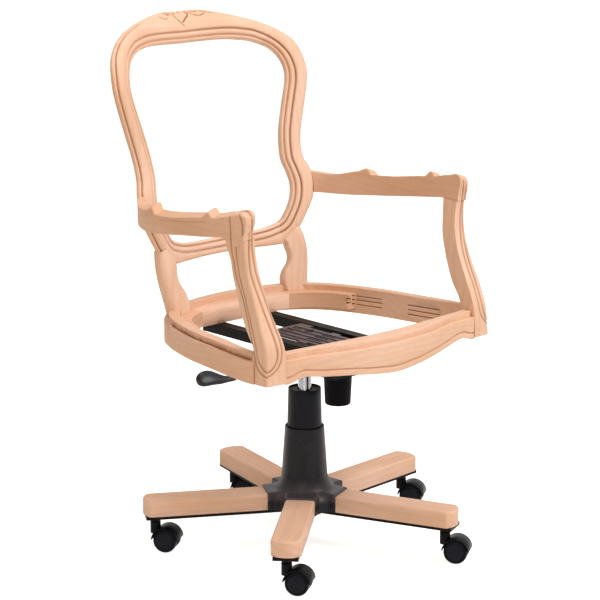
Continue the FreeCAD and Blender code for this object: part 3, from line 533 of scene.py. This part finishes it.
def finish_piece(mesh, name, body, material, ease=0.0008, angle=32.0, cut_material=None):
    """A shaded piece on its body; edges past the angle are eased, or kept crisp where ease is nought."""
    bmesh.ops.recalc_face_normals(mesh, faces=mesh.faces)
    for face in mesh.faces:
        face.smooth = True
    piece = made_object(mesh, name)
    piece.data.materials.append(material)
    if cut_material:
        piece.data.materials.append(cut_material)
    if ease:
        bevel = piece.modifiers.new("eased edges", "BEVEL")
        bevel.width = ease
        bevel.segments = 2
        bevel.limit_method = "ANGLE"
        bevel.angle_limit = math.radians(angle)
        bevel.harden_normals = True
        bevel.miter_outer = "MITER_ARC"
    else:
        piece.data.set_sharp_from_angle(angle=math.radians(angle))
    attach(piece, body)
    return piece


def stand_for(piece, node):
    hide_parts(node)


def dress(node, material, body, ease=0.0008, angle=32.0):
    """A copy of the solid with its edges eased."""
    stand_for(finish_piece(merged(node), node + "_look", body, material, ease, angle), node)


def seat_member(mesh, node, material, ease=0.0, angle=32.0, cut_material=None):
    """A wooden member of the seat, its back or its arms, in place of its solid."""
    piece = finish_piece(mesh, node + "_look", "seat", material, ease, angle, cut_material)
    stand_for(piece, node)


def repaint(node, material):
    """The solid itself with its finish."""
    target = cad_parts[node]
    target.data.materials.clear()
    target.data.materials.append(material)


# The back: x across, s up its rake from the foot, depth behind its front face
rake = math.radians(14.84)
back_radius = 445.0
seat_top = 496.0
back_foot = Vector((0.0, 227.5, seat_top - 10.0))
rake_up = Vector((0.0, math.sin(rake), math.cos(rake)))
rake_front = Vector((0.0, -math.cos(rake), math.sin(rake)))
back_thickness = 26.0


def back_point(x, s, depth=0.0):
    """A place on the back in the frame's millimetres: the back is a raked cylinder, hollow to the front."""
    swing = math.asin(x / back_radius)
    climb = s - back_radius * (1 - math.cos(swing)) * math.tan(rake)
    reach = back_radius + depth
    axis = back_foot + rake_up * climb + rake_front * back_radius
    return axis - rake_front * (reach * math.cos(swing)) + Vector((reach * math.sin(swing), 0.0, 0.0))


# The moulded face from its inner edge: a lip, a groove, a bead and a second groove, as (across, deep)
moulded_face = [(0.3, 3.6), (1.2, 2.0), (2.6, 0.8), (4.4, 0.2), (6.0, 0.5), (7.2, 1.5), (8.2, 3.0),
                (9.0, 3.9), (9.8, 3.7), (10.8, 2.3), (12.2, 1.0), (14.0, 0.3), (16.0, 0.1), (18.0, 0.4),
                (19.6, 1.4), (20.8, 2.9), (21.7, 3.9), (22.5, 3.8), (23.4, 2.4), (24.6, 0.9), (26.2, 0.2),
                (28.0, 0.0)]

# The outer edge: its round, and the shoulder, groove and bead that take the round's place on the stiles
round_depth = 17.0
shoulder_inset = 4.0
shoulder_depth = 10.0
bead_radius = 3.6
bead_middle = 17.4

# How much painted shade the grooves' points get, by their place in the section
groove_shade_columns = {10: 0.35, 11: 0.8, 12: 1.0, 13: 0.9, 14: 0.45,
                  20: 0.3, 21: 0.7, 22: 1.0, 23: 1.0, 24: 0.7, 25: 0.3}
outer_groove_shade_columns = {51: 0.2, 52: 0.5, 53: 0.6, 54: 0.5, 55: 0.3}


def bead_share(round_share, middle_x):
    """How much of the bead shows: none at the crest's middle and at the foot, all of it on the stiles."""
    return max(0.0, (round_share - 0.3) / 0.7) * eased(middle_x, 70.0, 60.0)


def outer_edge(width, round_share, middle_x):
    """The moulding's outer edge from its face to its back, as (across, deep)."""
    first = moulded_face[-1][0]
    plain = []
    beaded = []
    for step in range(1, 37):
        turn = math.pi / 2 * step / 36
        across = first + (width - first) * math.sin(turn)
        plain.append((across, round_depth * round_share * (1 - math.cos(turn))))
    for step in range(1, 25):
        turn = math.pi / 2 * step / 24
        across = first + (width - shoulder_inset - first) * math.sin(turn)
        beaded.append((across, shoulder_depth * (1 - math.cos(turn))))
    beaded += [(width - 4.4, 11.2), (width - 5.4, 12.3), (width - 5.4, 13.3), (width - 4.4, 13.9)]
    for step in range(8):
        turn = math.radians(14 * step - 8)
        across = width - bead_radius + bead_radius * math.sin(turn)
        beaded.append((across, bead_middle - bead_radius * math.cos(turn)))
    share = bead_share(round_share, middle_x)
    return [(a + (c - a) * share, b + (d - b) * share) for (a, b), (c, d) in zip(plain, beaded)]


def moulding_ring(row):
    """One closed section of the moulding, from (inner x, s, outer x, s, share of the round edge)."""
    inner, outer, round_share = row[0:2], row[2:4], row[4]
    start = back_point(*inner)
    across = back_point(*outer) - start
    width = across.length
    across.normalize()
    swing = math.asin((inner[0] + outer[0]) / 2 / back_radius)
    behind = rake_front * -math.cos(swing) + Vector((math.sin(swing), 0.0, 0.0))
    behind = (behind - across * behind.dot(across)).normalized()
    t = back_thickness
    marks = [(2.0, t), (0.6, t - 0.6), (0.0, t - 2.0), (0.0, 16.0), (0.0, 8.0), (0.0, 5.0)]
    marks += moulded_face
    middle_x = abs(inner[0] + outer[0]) / 2
    marks += outer_edge(width, round_share, middle_x)
    marks += [(width, t - 7.0), (width - 0.6, t - 4.6), (width - 3.0, t - 2.4), (width - 7.0, t)]
    return [start + across * a + behind * d for a, d in marks]


def mirrored_rows(half):
    """Rows from the left end through the middle to the right end."""
    left = [(-row[0], row[1], -row[2], row[3], row[4]) for row in reversed(half[1:])]
    return left + half


# Sections along the back's members, as (inner x, inner s, outer x, outer s, share of the round edge)
crest_half = [
    (0, 560, 0, 629, 1), (45, 561, 46, 629.5, 1), (88, 561.5, 92, 622, 1), (115, 560.5, 122, 615, 1),
    (134, 558, 150, 606.5, 1), (153, 555, 178, 597.5, 1), (174, 547, 210, 582, 1),
]
stile_rows = [
    (174, 547, 210, 582, 1), (192, 536, 238, 559, 1), (207, 515, 251, 532, 1), (214, 488, 257, 493, 1),
    (212, 462, 254, 462, 1), (205, 436, 246, 427, 1), (195, 400, 236.5, 389, 1),
    (184, 356, 226.5, 348, 1), (179, 322, 222.5, 318, 1), (177.5, 290, 224, 291, 1),
    (183, 264, 232, 269, 1), (187, 237, 235, 240, 1), (183, 208, 228, 203, 1), (172, 182, 212, 170, 1),
    (157, 159, 193, 139, 1), (151.5, 154.5, 172, 121, 0.5), (147, 151, 147, 103, 0.3),
]
lower_half = [
    (0, 137, 0, 102, 0.3), (50, 137, 50, 102, 0.3), (90, 139, 90, 102, 0.3), (120, 143, 120, 102, 0.3),
    (147, 151, 147, 103, 0.3),
]
back_half_width = 230.0


def shade_grooves(mesh, rows, rings, left_shade, right_shade):
    """Paint shade into a moulded member's grooves, heavier towards one side of the back than towards the
    other.
    """
    layer = groove_shade_layer(mesh)
    tree = tree_of([vert.co for vert in mesh.verts])
    mesh.verts.ensure_lookup_table()
    for row, ring in zip(rows, rings):
        middle_x = (row[0] + row[2]) / 2
        place = (middle_x + back_half_width) / (2 * back_half_width)
        strength = right_shade + (left_shade - right_shade) * place
        bead = bead_share(row[4], abs(middle_x))
        marks = [(column, share * strength) for column, share in groove_shade_columns.items()]
        marks += [(column, share * bead) for column, share in outer_groove_shade_columns.items()]
        for column, depth in marks:
            _, index, away = tree.find(ring[column] * millimetre)
            if away < 0.00005:
                mesh.verts[index][layer] = depth


def back_member(marked_rows, left_shade, right_shade, spacing=1.5):
    rows = smooth_rows(marked_rows, spacing)
    rings = [moulding_ring(row) for row in rows]
    mesh = sweep(rings)
    shade_grooves(mesh, rows, rings, left_shade, right_shade)
    return mesh


def stile_piece(side, shift):
    # Painted shade in the stile's grooves: heavier on the left stile than on the right
    shade = {"left": 0.85, "right": 0.30}[side]
    mesh = back_member(stile_rows, shade, shade)
    if side == "right":
        mirror_mesh(mesh)
    node = "stile_" + side
    seat_member(mesh, node, beech_for(node, "z", shift), angle=40.0)


def lower_back_piece(shift):
    node = "lower_back_rail"
    # Painted shade in the grooves, heavier towards the left end
    mesh = back_member(mirrored_rows(lower_half), 0.75, 0.15)
    seat_member(mesh, node, beech_for(node, "x", shift), angle=40.0)


# Front posts: height over the seat, then the section's corners: front inner, front outer, rear outer and
# rear inner
post_levels = [
    (-56, 265, -237, 313.5, -232.5, 314, -190, 268, -190),
    (-21, 265.5, -236, 311, -231.5, 313, -191, 268, -190),
    (14, 265, -231, 309, -226, 311.5, -189, 269, -188),
    (54, 268, -211, 308, -210.5, 310, -165, 270, -163),
    (86, 270.5, -193, 305.5, -195.5, 308, -149, 273, -147),
    (116, 271, -180, 303.5, -182.5, 308, -139, 275, -136),
    (150, 273.5, -168, 304.5, -170, 309, -129, 278, -126),
    (179, 276, -163, 305, -165, 311, -125, 282, -122),
    (202, 279, -162, 306.4, -163, 315.5, -120, 289, -116),
    (220, 281, -163.5, 307.5, -163, 317.5, -118, 293, -113),
]

# The section's corners are rounded, and its sides have this many points
corner_radii = (1.2, 8.0, 1.2, 1.2)
side_counts = (44, 44, 8, 8)
corner_steps = 5


def rounded_ring(corners):
    """A closed ring with a rounded corner at each of the corners, and even points along the sides."""
    ring = []
    total = len(corners)
    for index, corner in enumerate(corners):
        before = corners[index - 1]
        after = corners[(index + 1) % total]
        first = corner + (before - corner).normalized() * corner_radii[index]
        last = corner + (after - corner).normalized() * corner_radii[index]
        for step in range(corner_steps + 1):
            t = step / corner_steps
            ring.append(first * (1 - t) ** 2 + corner * 2 * t * (1 - t) + last * t ** 2)
        goal = after + (corner - after).normalized() * corner_radii[(index + 1) % total]
        for step in range(1, side_counts[index]):
            ring.append(last.lerp(goal, step / side_counts[index]))
    return ring


def post_corners(row):
    """The left post's four corners at one height."""
    z = seat_top + row[0]
    return [Vector((row[index], row[index + 1], z)) for index in (1, 3, 5, 7)]


def post_line(branch, marks):
    """Points on the post's front or outer face, from (height over the seat, distance from the arris)."""
    table = smooth_rows(post_levels, 4.0)
    points = []
    for level, away in smooth_rows(marks, 2.0):
        level = min(max(level, table[0][0]), table[-1][0])
        row = min(table, key=lambda item: abs(item[0] - level))
        front_inner, front_outer, rear_outer, _ = post_corners(row)
        towards = front_inner if branch == "front" else rear_outer
        point = front_outer + (towards - front_outer).normalized() * away
        point.z = seat_top + level
        if away < 3.0:
            across = (front_inner - front_outer).normalized() + (rear_outer - front_outer).normalized()
            point += across * 0.9
        points.append(point)
    return points


# The posts' nested grooves, which run down from the arm and meet the arris at the foot
side_outer_loop = [(220, 33), (169, 33), (122, 32), (70, 33), (20, 36), (-10, 33), (-26, 26), (-34, 13),
                   (-37, 1)]
side_inner_loop = [(205, 22), (176, 23.5), (113, 24.5), (50, 26.5), (0, 27), (-14, 21), (-24, 10), (-28, 1)]
front_inner_loop = {
    "right": [(220, 12), (172, 9.5), (124, 12), (83, 19), (41, 24.5), (4, 26.3), (-14, 20.5), (-25, 9),
              (-28, 1)],
    "left": [(220, 4.5), (180, 5.5), (125, 8.5), (69, 13), (23, 15), (-5, 13), (-18, 8), (-26, 3),
             (-28, 1)],
}
front_outer_loop = {
    "right": [(220, 19), (176, 21), (126, 26), (81, 33), (34, 36.5), (8, 36.5), (-10, 33), (-22, 26),
              (-33, 11), (-37, 1)],
    "left": [(220, 10), (160, 14.5), (104, 19.5), (54, 23.5), (10, 26), (-12, 22), (-25, 12), (-34, 4),
             (-37, 1)],
}


def post_piece(side, shift):
    mesh = sweep([rounded_ring(post_corners(row)) for row in smooth_rows(post_levels, 1.0)])
    lines = [(post_line("side", side_outer_loop), 3.2, 1.8),
             (post_line("side", side_inner_loop), 3.0, 1.6),
             (post_line("front", front_inner_loop[side]), 3.4, 2.6),
             (post_line("front", front_outer_loop[side]), 3.0, 2.0)]
    # Painted shade in the post's grooves
    carve(mesh, lines, 0.75)
    if side == "right":
        mirror_mesh(mesh)
    node = "front_post_" + side
    seat_member(mesh, node, beech_for(node, "z", shift), angle=40.0)


# Arms: the solid's own shape as an even skin, with creases pressed into the head and a line along the edge
arm_x = 0.296
arm_slope = 0.33
crease_foot = 716
arm_voxel = 0.0011
rear_stop_span = (0.099, 0.138)
front_stop_span = (-0.084, -0.048)
head_end = -0.120
rear_stop_foot = 0.736
front_stop_foot = 0.754
head_foot = 0.745
bed_height = 0.732
bed_depth = 0.030

# Creases as (line, half width, depth), with x outwards
head_creases = [
    ([(316.5, -129.5, 760), (316.6, -130.5, 746), (316, -132, 730), (315.8, -132, crease_foot)], 2.6, 2.4),
    ([(309, -150, 768), (311.5, -158, 758), (310.5, -161, 745), (310.5, -161, 728)], 3.5, 0.7),
]
front_creases = {
    "right": [
        ([(297, -140, 770), (295, -157, 772), (295, -167, 766), (293, -171, 752), (289, -165, 736),
          (287.5, -163.3, crease_foot)], 3.0, 2.4),
        ([(295, -163.5, 730), (295, -163.4, crease_foot)], 2.2, 1.6),
    ],
    "left": [
        ([(297, -140, 768), (295, -157, 771), (294.5, -170, 760), (294.5, -170.5, 751), (298, -164, 730),
          (298, -162.6, crease_foot)], 2.6, 2.2),
        ([(303, -150, 767), (303, -165, 764), (303.4, -170, 748), (306, -163.5, 724),
          (304, -162.5, crease_foot)], 2.4, 1.8),
    ],
}
edge_line = [(318.1, 84, 722.6), (320, 46, 726.4), (320.6, 8, 731), (322.3, -34, 736.5), (322.5, -66, 741)]


def ease_arm(mesh):
    """Round the stops and the head, and level the top where the arm turns in towards the stile."""
    upper = []
    for vert in mesh.verts:
        height = vert.co.z + arm_slope * (abs(vert.co.x) - arm_x)
        y = vert.co.y
        rear_stop = rear_stop_span[0] < y < rear_stop_span[1] and height > rear_stop_foot
        front_stop = front_stop_span[0] < y < front_stop_span[1] and height > front_stop_foot
        head = y < head_end and height > head_foot
        if rear_stop or front_stop or head:
            upper.append(vert)
    smoothed(mesh, upper, 36)
    for vert in mesh.verts:
        turned_in = max(0.0, arm_x - abs(vert.co.x))
        top = bed_height + arm_slope * turned_in
        share = min(max((vert.co.z - top + bed_depth) / bed_depth, 0.0), 1.0)
        vert.co.z -= 0.28 * turned_in * eased(vert.co.y, 0.120, 0.090) * share


def on_side(points, side):
    return [(x * outward[side], y, z) for x, y, z in points]


def arm_piece(side, shift):
    node = "arm_" + side
    mesh = skin_of(merged(node), arm_voxel, 3)
    ease_arm(mesh)
    # Painted shade along the edge line, and heavier in the head's creases
    carve(mesh, [(on_side(edge_line, side), 1.5, 0.6)], 0.45)
    creases = head_creases + front_creases[side]
    carve(mesh, [(on_side(points, side), half, depth) for points, half, depth in creases], 0.85)
    seat_member(mesh, node, beech_for(node, "y", shift, warmth=0.25), angle=60.0)


# Crest carving: a small shield between leaves, as (line on the face (x, s), half width, depth)
crest_cuts = [
    ([(-47, 629), (-42, 627), (-35, 622)], 3.2, 3.4),
    ([(-61, 620), (-54, 615), (-47, 613), (-41, 614)], 1.6, 1.0),
    ([(-24, 623), (-17, 613), (-9, 604), (0, 594)], 1.6, 1.4),
    ([(13, 628), (17, 618), (8, 610), (0, 603)], 2.6, 2.8),
    ([(-32, 627), (-28, 622)], 2.2, 2.4),
    ([(-20, 629), (-16, 623)], 2.4, 2.6),
    ([(-6, 629), (-3, 624)], 2.4, 2.6),
    ([(20, 624), (31, 618), (46, 615), (56, 617), (62, 620)], 1.8, 1.3),
    ([(50, 626), (62, 624), (74, 621), (84, 620)], 1.9, 1.4),
    ([(26, 627), (36, 624), (44, 626)], 1.8, 1.4),
]


def on_face(tree, x, s):
    """The point of the carved face at a place on the back."""
    start = back_point(x, s, -30.0) * millimetre
    hit = tree.ray_cast(start, back_point(x, s, 30.0) * millimetre - start)[0]
    if hit is None:
        hit = tree.find_nearest(back_point(x, s, 14.0) * millimetre)[0]
    return hit / millimetre


def crest_piece(shift):
    mesh = back_member(mirrored_rows(crest_half), 0.85, 0.25, spacing=1.2)
    tree = BVHTree.FromBMesh(mesh)
    lines = []
    for points, half, depth in crest_cuts:
        fine = smooth_rows(points, 2.0)
        lines.append(([on_face(tree, x, s) for x, s in fine], half, depth))
    # Strong painted shade in the crest's cuts
    carve(mesh, lines, 1.3)
    seat_member(mesh, "crest_rail", beech_for("crest_rail", "x", shift), angle=40.0)


# Base cover: a bell that flows into a lobe over each arm, melted together, with the arms' slots cut out
arm_angles = {"a": 4.9, "b": 76.9, "c": 148.9, "d": 220.9, "e": 292.9}
bell_profile = [(0, 62), (77, 62), (77, 98), (75, 105), (70, 111), (64, 115.5), (58, 121), (54, 129),
                (50.5, 138), (48.5, 146), (45, 200), (41.4, 253), (0, 253)]
bell_hollow = [(0, 60), (39, 60), (39, 129), (34, 146), (31.5, 146), (31.5, 152), (45.2, 152), (38.8, 256),
               (0, 256)]
lobe_low = (10, -34.6, 62)
lobe_high = (86.0, 34.6, 118.5)
cap_slot_low = (69.6, -31.4, 60)
cap_slot_high = (90, 31.4, 114.4)
steel_slot_low = (30, -26.4, 60)
steel_slot_high = (90, 26.4, 80.4)
under_cover_low = (-120, -120, 50)
under_cover_high = (120, 120, 80)
cover_voxel = 0.0016
melt_below = 0.165
melt_rounds = 34


def join_mesh(mesh, other):
    data = bpy.data.meshes.new("joined")
    other.to_mesh(data)
    other.free()
    mesh.from_mesh(data)
    bpy.data.meshes.remove(data)


def cover_piece():
    mesh = spun(bell_profile)
    for angle in arm_angles.values():
        join_mesh(mesh, box_mesh(lobe_low, lobe_high, math.radians(angle)))
    mesh = skin_of(mesh, cover_voxel, 0)
    smoothed(mesh, [vert for vert in mesh.verts if vert.co.z < melt_below], melt_rounds)
    cutters = [box_mesh(under_cover_low, under_cover_high), spun(bell_hollow)]
    for angle in arm_angles.values():
        cutters.append(box_mesh(cap_slot_low, cap_slot_high, math.radians(angle)))
        cutters.append(box_mesh(steel_slot_low, steel_slot_high, math.radians(angle)))
    mesh = cut_away(mesh, cutters)
    piece = finish_piece(mesh, "base_cover_look", "base", bell_plastic, 0, 42.0, hood_plastic)
    stand_for(piece, "base_cover")


# Rails: finger joints show as thin lines on the side rails' inner faces and as marks on the corner blocks'
# ends, and a fine groove runs along the foot of the rim
rim_foot = 0.484
rear_joint = ((233.5, 90), (253, 28))
rear_joint_levels = (478.5, 469.5, 459.5)
front_joint = ((264.8, -40), (280.5, -120))
front_joint_levels = (476.5, 466.0, 456.0)
joint_line_thick = 2.2
joint_line_deep = 3.5
block_marks = ((226, 480.5), (226, 472), (226, 463), (212.5, 476), (212.5, 467))


def line_cutter(start, finish, z):
    """A thin slot between two points in plan, at one height."""
    run = math.dist(start, finish)
    turn = math.atan2(finish[1] - start[1], finish[0] - start[0])
    low = (0, -joint_line_deep, z - joint_line_thick / 2)
    high = (run, joint_line_deep, z + joint_line_thick / 2)
    return box_mesh(low, high, turn, (start[0], start[1], 0))


def rim_groove(mesh):
    """A cutter along the foot of the rim, where it stands back from the rail's outer face."""
    foot = {}
    for vert in mesh.verts:
        rises = any(edge.other_vert(vert).co.z > rim_foot + 0.006 for edge in vert.link_edges)
        if abs(vert.co.z - rim_foot) < 0.0002 and rises:
            foot[round(math.atan2(vert.co.x, vert.co.y), 3)] = vert.co / millimetre
    path = [foot[angle] for angle in sorted(foot)]
    rings = []
    low = Vector((0.0, 0.0, -1.3))
    high = Vector((0.0, 0.0, 0.4))
    for index, point in enumerate(path):
        along = path[min(index + 1, len(path) - 1)] - path[max(index - 1, 0)]
        out = Vector((-along.y, along.x, 0.0)).normalized()
        if out.dot(point) < 0:
            out.negate()
        inner = point - out * 0.5
        outer = point + out * 1.4
        rings.append([inner + low, outer + low, outer + high, inner + high])
    return sweep(rings)


def rail_piece(side, shift):
    flip = outward[side]
    node = "side_rail_" + side
    cutters = []
    for (start, finish), levels in ((rear_joint, rear_joint_levels), (front_joint, front_joint_levels)):
        for z in levels:
            cutters.append(line_cutter((start[0] * flip, start[1]), (finish[0] * flip, finish[1]), z))
    mesh = merged(node)
    cutters.append(rim_groove(mesh))
    material = beech_for(node, "y", shift, 0.15 * flip, 0.2)
    seat_member(cut_away(mesh, cutters), node, material, cut_material=joint_shade_beech)


def block_piece(side, shift):
    flip = outward[side]
    node = "corner_block_" + side
    cutters = []
    for x, z in block_marks:
        low_x, high_x = sorted(((x - 4) * flip, (x + 4) * flip))
        cutters.append(box_mesh((low_x, 80, z - 1.6), (high_x, 94, z + 1.6)))
    material = beech_for(node, "x", shift, 0.8 * flip, 0.45)
    seat_member(cut_away(merged(node), cutters), node, material, cut_material=joint_shade_beech)


def front_rail_piece(shift):
    """The front rail, with its ends brought forward to lie flush with the posts."""
    mesh = merged("front_rail")
    for vert in mesh.verts:
        vert.co.y -= 0.005 * eased(abs(vert.co.x), 0.190, 0.075)
    seat_member(mesh, "front_rail", beech_for("front_rail", "x", shift), ease=0.0008)


def back_rail_piece(shift):
    mesh = merged("back_rail")
    mesh = cut_away(mesh, [rim_groove(mesh)])
    seat_member(mesh, "back_rail", beech_for("back_rail", "x", shift), cut_material=joint_shade_beech)


# Wooden members, each with its shift in the beech
for side, shift in (("left", 0.05), ("right", 0.88)):
    stile_piece(side, shift)
    post_piece(side, shift + 0.13)
    arm_piece(side, shift + 0.44)
    rail_piece(side, shift + 0.2)
    block_piece(side, shift + 0.4)
crest_piece(0.29)
lower_back_piece(0.71)
front_rail_piece(0.11)
back_rail_piece(0.52)
for node, along, shift in (("back_board", "x", 0.83), ("front_board", "x", 0.37),
                           ("rear_post_left", "z", 0.34), ("rear_post_right", "z", 0.76)):
    dress(node, beech_for(node, along, shift), "seat")
for count, (letter, angle) in enumerate(arm_angles.items(), 1):
    node = "arm_cap_" + letter
    dress(node, beech_for(node, "x", 0.13 * count, -math.radians(angle)), "base", ease=0.0012)

# Metal and plastic
for node, material in (("base_spider", black_paint), ("gas_cylinder", black_paint), ("cap_screws", zinc),
                       ("release_button", zinc), ("tilt_housing", black_paint), ("tilt_pin", zinc),
                       ("tension_spring", zinc), ("lift_lever_rod", black_paint),
                       ("seat_plate", plate_paint), ("seat_bar_left", black_paint),
                       ("seat_bar_right", black_paint), ("seat_bolts", zinc)):
    repaint(node, material)
cover_piece()
for node, material, body, slot in (
        ("upper_sleeve", sleeve_plastic, "base", "black_plastic"),
        ("lift_rod", chrome, "lift", "chrome"),
        ("tension_knob", knob_plastic, "knob", "black_plastic"),
        ("lift_lever_paddle", paddle_plastic, "lever", "lever_plastic")):
    dress(node, material, body, ease=0.0006, angle=30.0)
for letter in arm_angles:
    repaint("caster_axle_" + letter, zinc)
    dress("caster_hood_" + letter, hood_plastic, "caster_" + letter, ease=0.0009)
    for number in "12":
        wheel = letter + number
        dress("caster_wheel_" + wheel, wheel_plastic, "wheel_" + wheel, ease=0.0003,
              angle=40.0)


# Floor and light
def white_seen(nodes, links):
    """One where the camera or a reflection sees the background, and nought where it lights the object."""
    path = add(nodes, "ShaderNodeLightPath")
    seen = combined(nodes, links, "MAXIMUM", path.outputs["Is Camera Ray"], path.outputs["Is Glossy Ray"])
    return combined(nodes, links, "MAXIMUM", seen, path.outputs["Is Transmission Ray"])


floor_glow = 0.78
room_colour = (1.0, 0.78, 0.54, 1.0)
room_strength = 0.40


def make_stage():
    mesh = bmesh.new()
    bmesh.ops.create_grid(mesh, x_segments=1, y_segments=1, size=30.0)
    floor = made_object(mesh, "floor")
    floor.location = (0.0, 0.0, -0.0005)
    material, nodes, links, shader = new_material("pale floor")
    place = add(nodes, "ShaderNodeTexCoord")
    cloud = noise(nodes, links, place.outputs["Object"], 3.0)
    tone = mix(nodes, links, cloud, (0.84, 0.84, 0.84, 1.0), (0.87, 0.87, 0.87, 1.0))
    links.new(tone, shader.inputs["Base Color"])
    shader.inputs["Roughness"].default_value = 0.9
    shader.inputs["Emission Color"].default_value = (1.0, 1.0, 1.0, 1.0)
    glow = combined(nodes, links, "MULTIPLY", white_seen(nodes, links), floor_glow)
    links.new(glow, shader.inputs["Emission Strength"])
    floor.data.materials.append(material)


def area_light(name, place, target, size, power, colour=(1.0, 1.0, 1.0)):
    """A round soft light at a place, facing the target."""
    data = bpy.data.lights.new(name, "AREA")
    data.shape = "DISK"
    data.size = size
    data.energy = power
    data.color = colour
    light = bpy.data.objects.new(name, data)
    light.location = place
    light.rotation_mode = "QUATERNION"
    light.rotation_quaternion = (Vector(target) - Vector(place)).to_track_quat("-Z", "Y")
    scene.collection.objects.link(light)


def make_world():
    world = bpy.data.worlds.new("white room")
    scene.world = world
    world.use_nodes = True
    nodes = world.node_tree.nodes
    links = world.node_tree.links
    nodes.clear()
    output = nodes.new("ShaderNodeOutputWorld")
    seen = nodes.new("ShaderNodeBackground")
    seen.inputs["Color"].default_value = (1.0, 1.0, 1.0, 1.0)
    seen.inputs["Strength"].default_value = 1.0
    lit = nodes.new("ShaderNodeBackground")
    lit.inputs["Color"].default_value = room_colour
    lit.inputs["Strength"].default_value = room_strength
    blend = nodes.new("ShaderNodeMixShader")
    links.new(white_seen(nodes, links), blend.inputs["Fac"])
    links.new(lit.outputs[0], blend.inputs[1])
    links.new(seen.outputs[0], blend.inputs[2])
    links.new(blend.outputs[0], output.inputs["Surface"])


make_stage()
make_world()
area_light("key", (1.3, -3.0, 3.4), (0.0, 0.0, 0.6), 2.2, 112.0, (0.98, 0.98, 1.0))
area_light("fill", (-3.0, -2.0, 2.0), (0.0, 0.0, 0.6), 2.2, 30.0, (1.0, 0.93, 0.80))
area_light("top", (-0.2, 0.2, 3.4), (0.0, 0.0, 0.5), 2.0, 34.0)
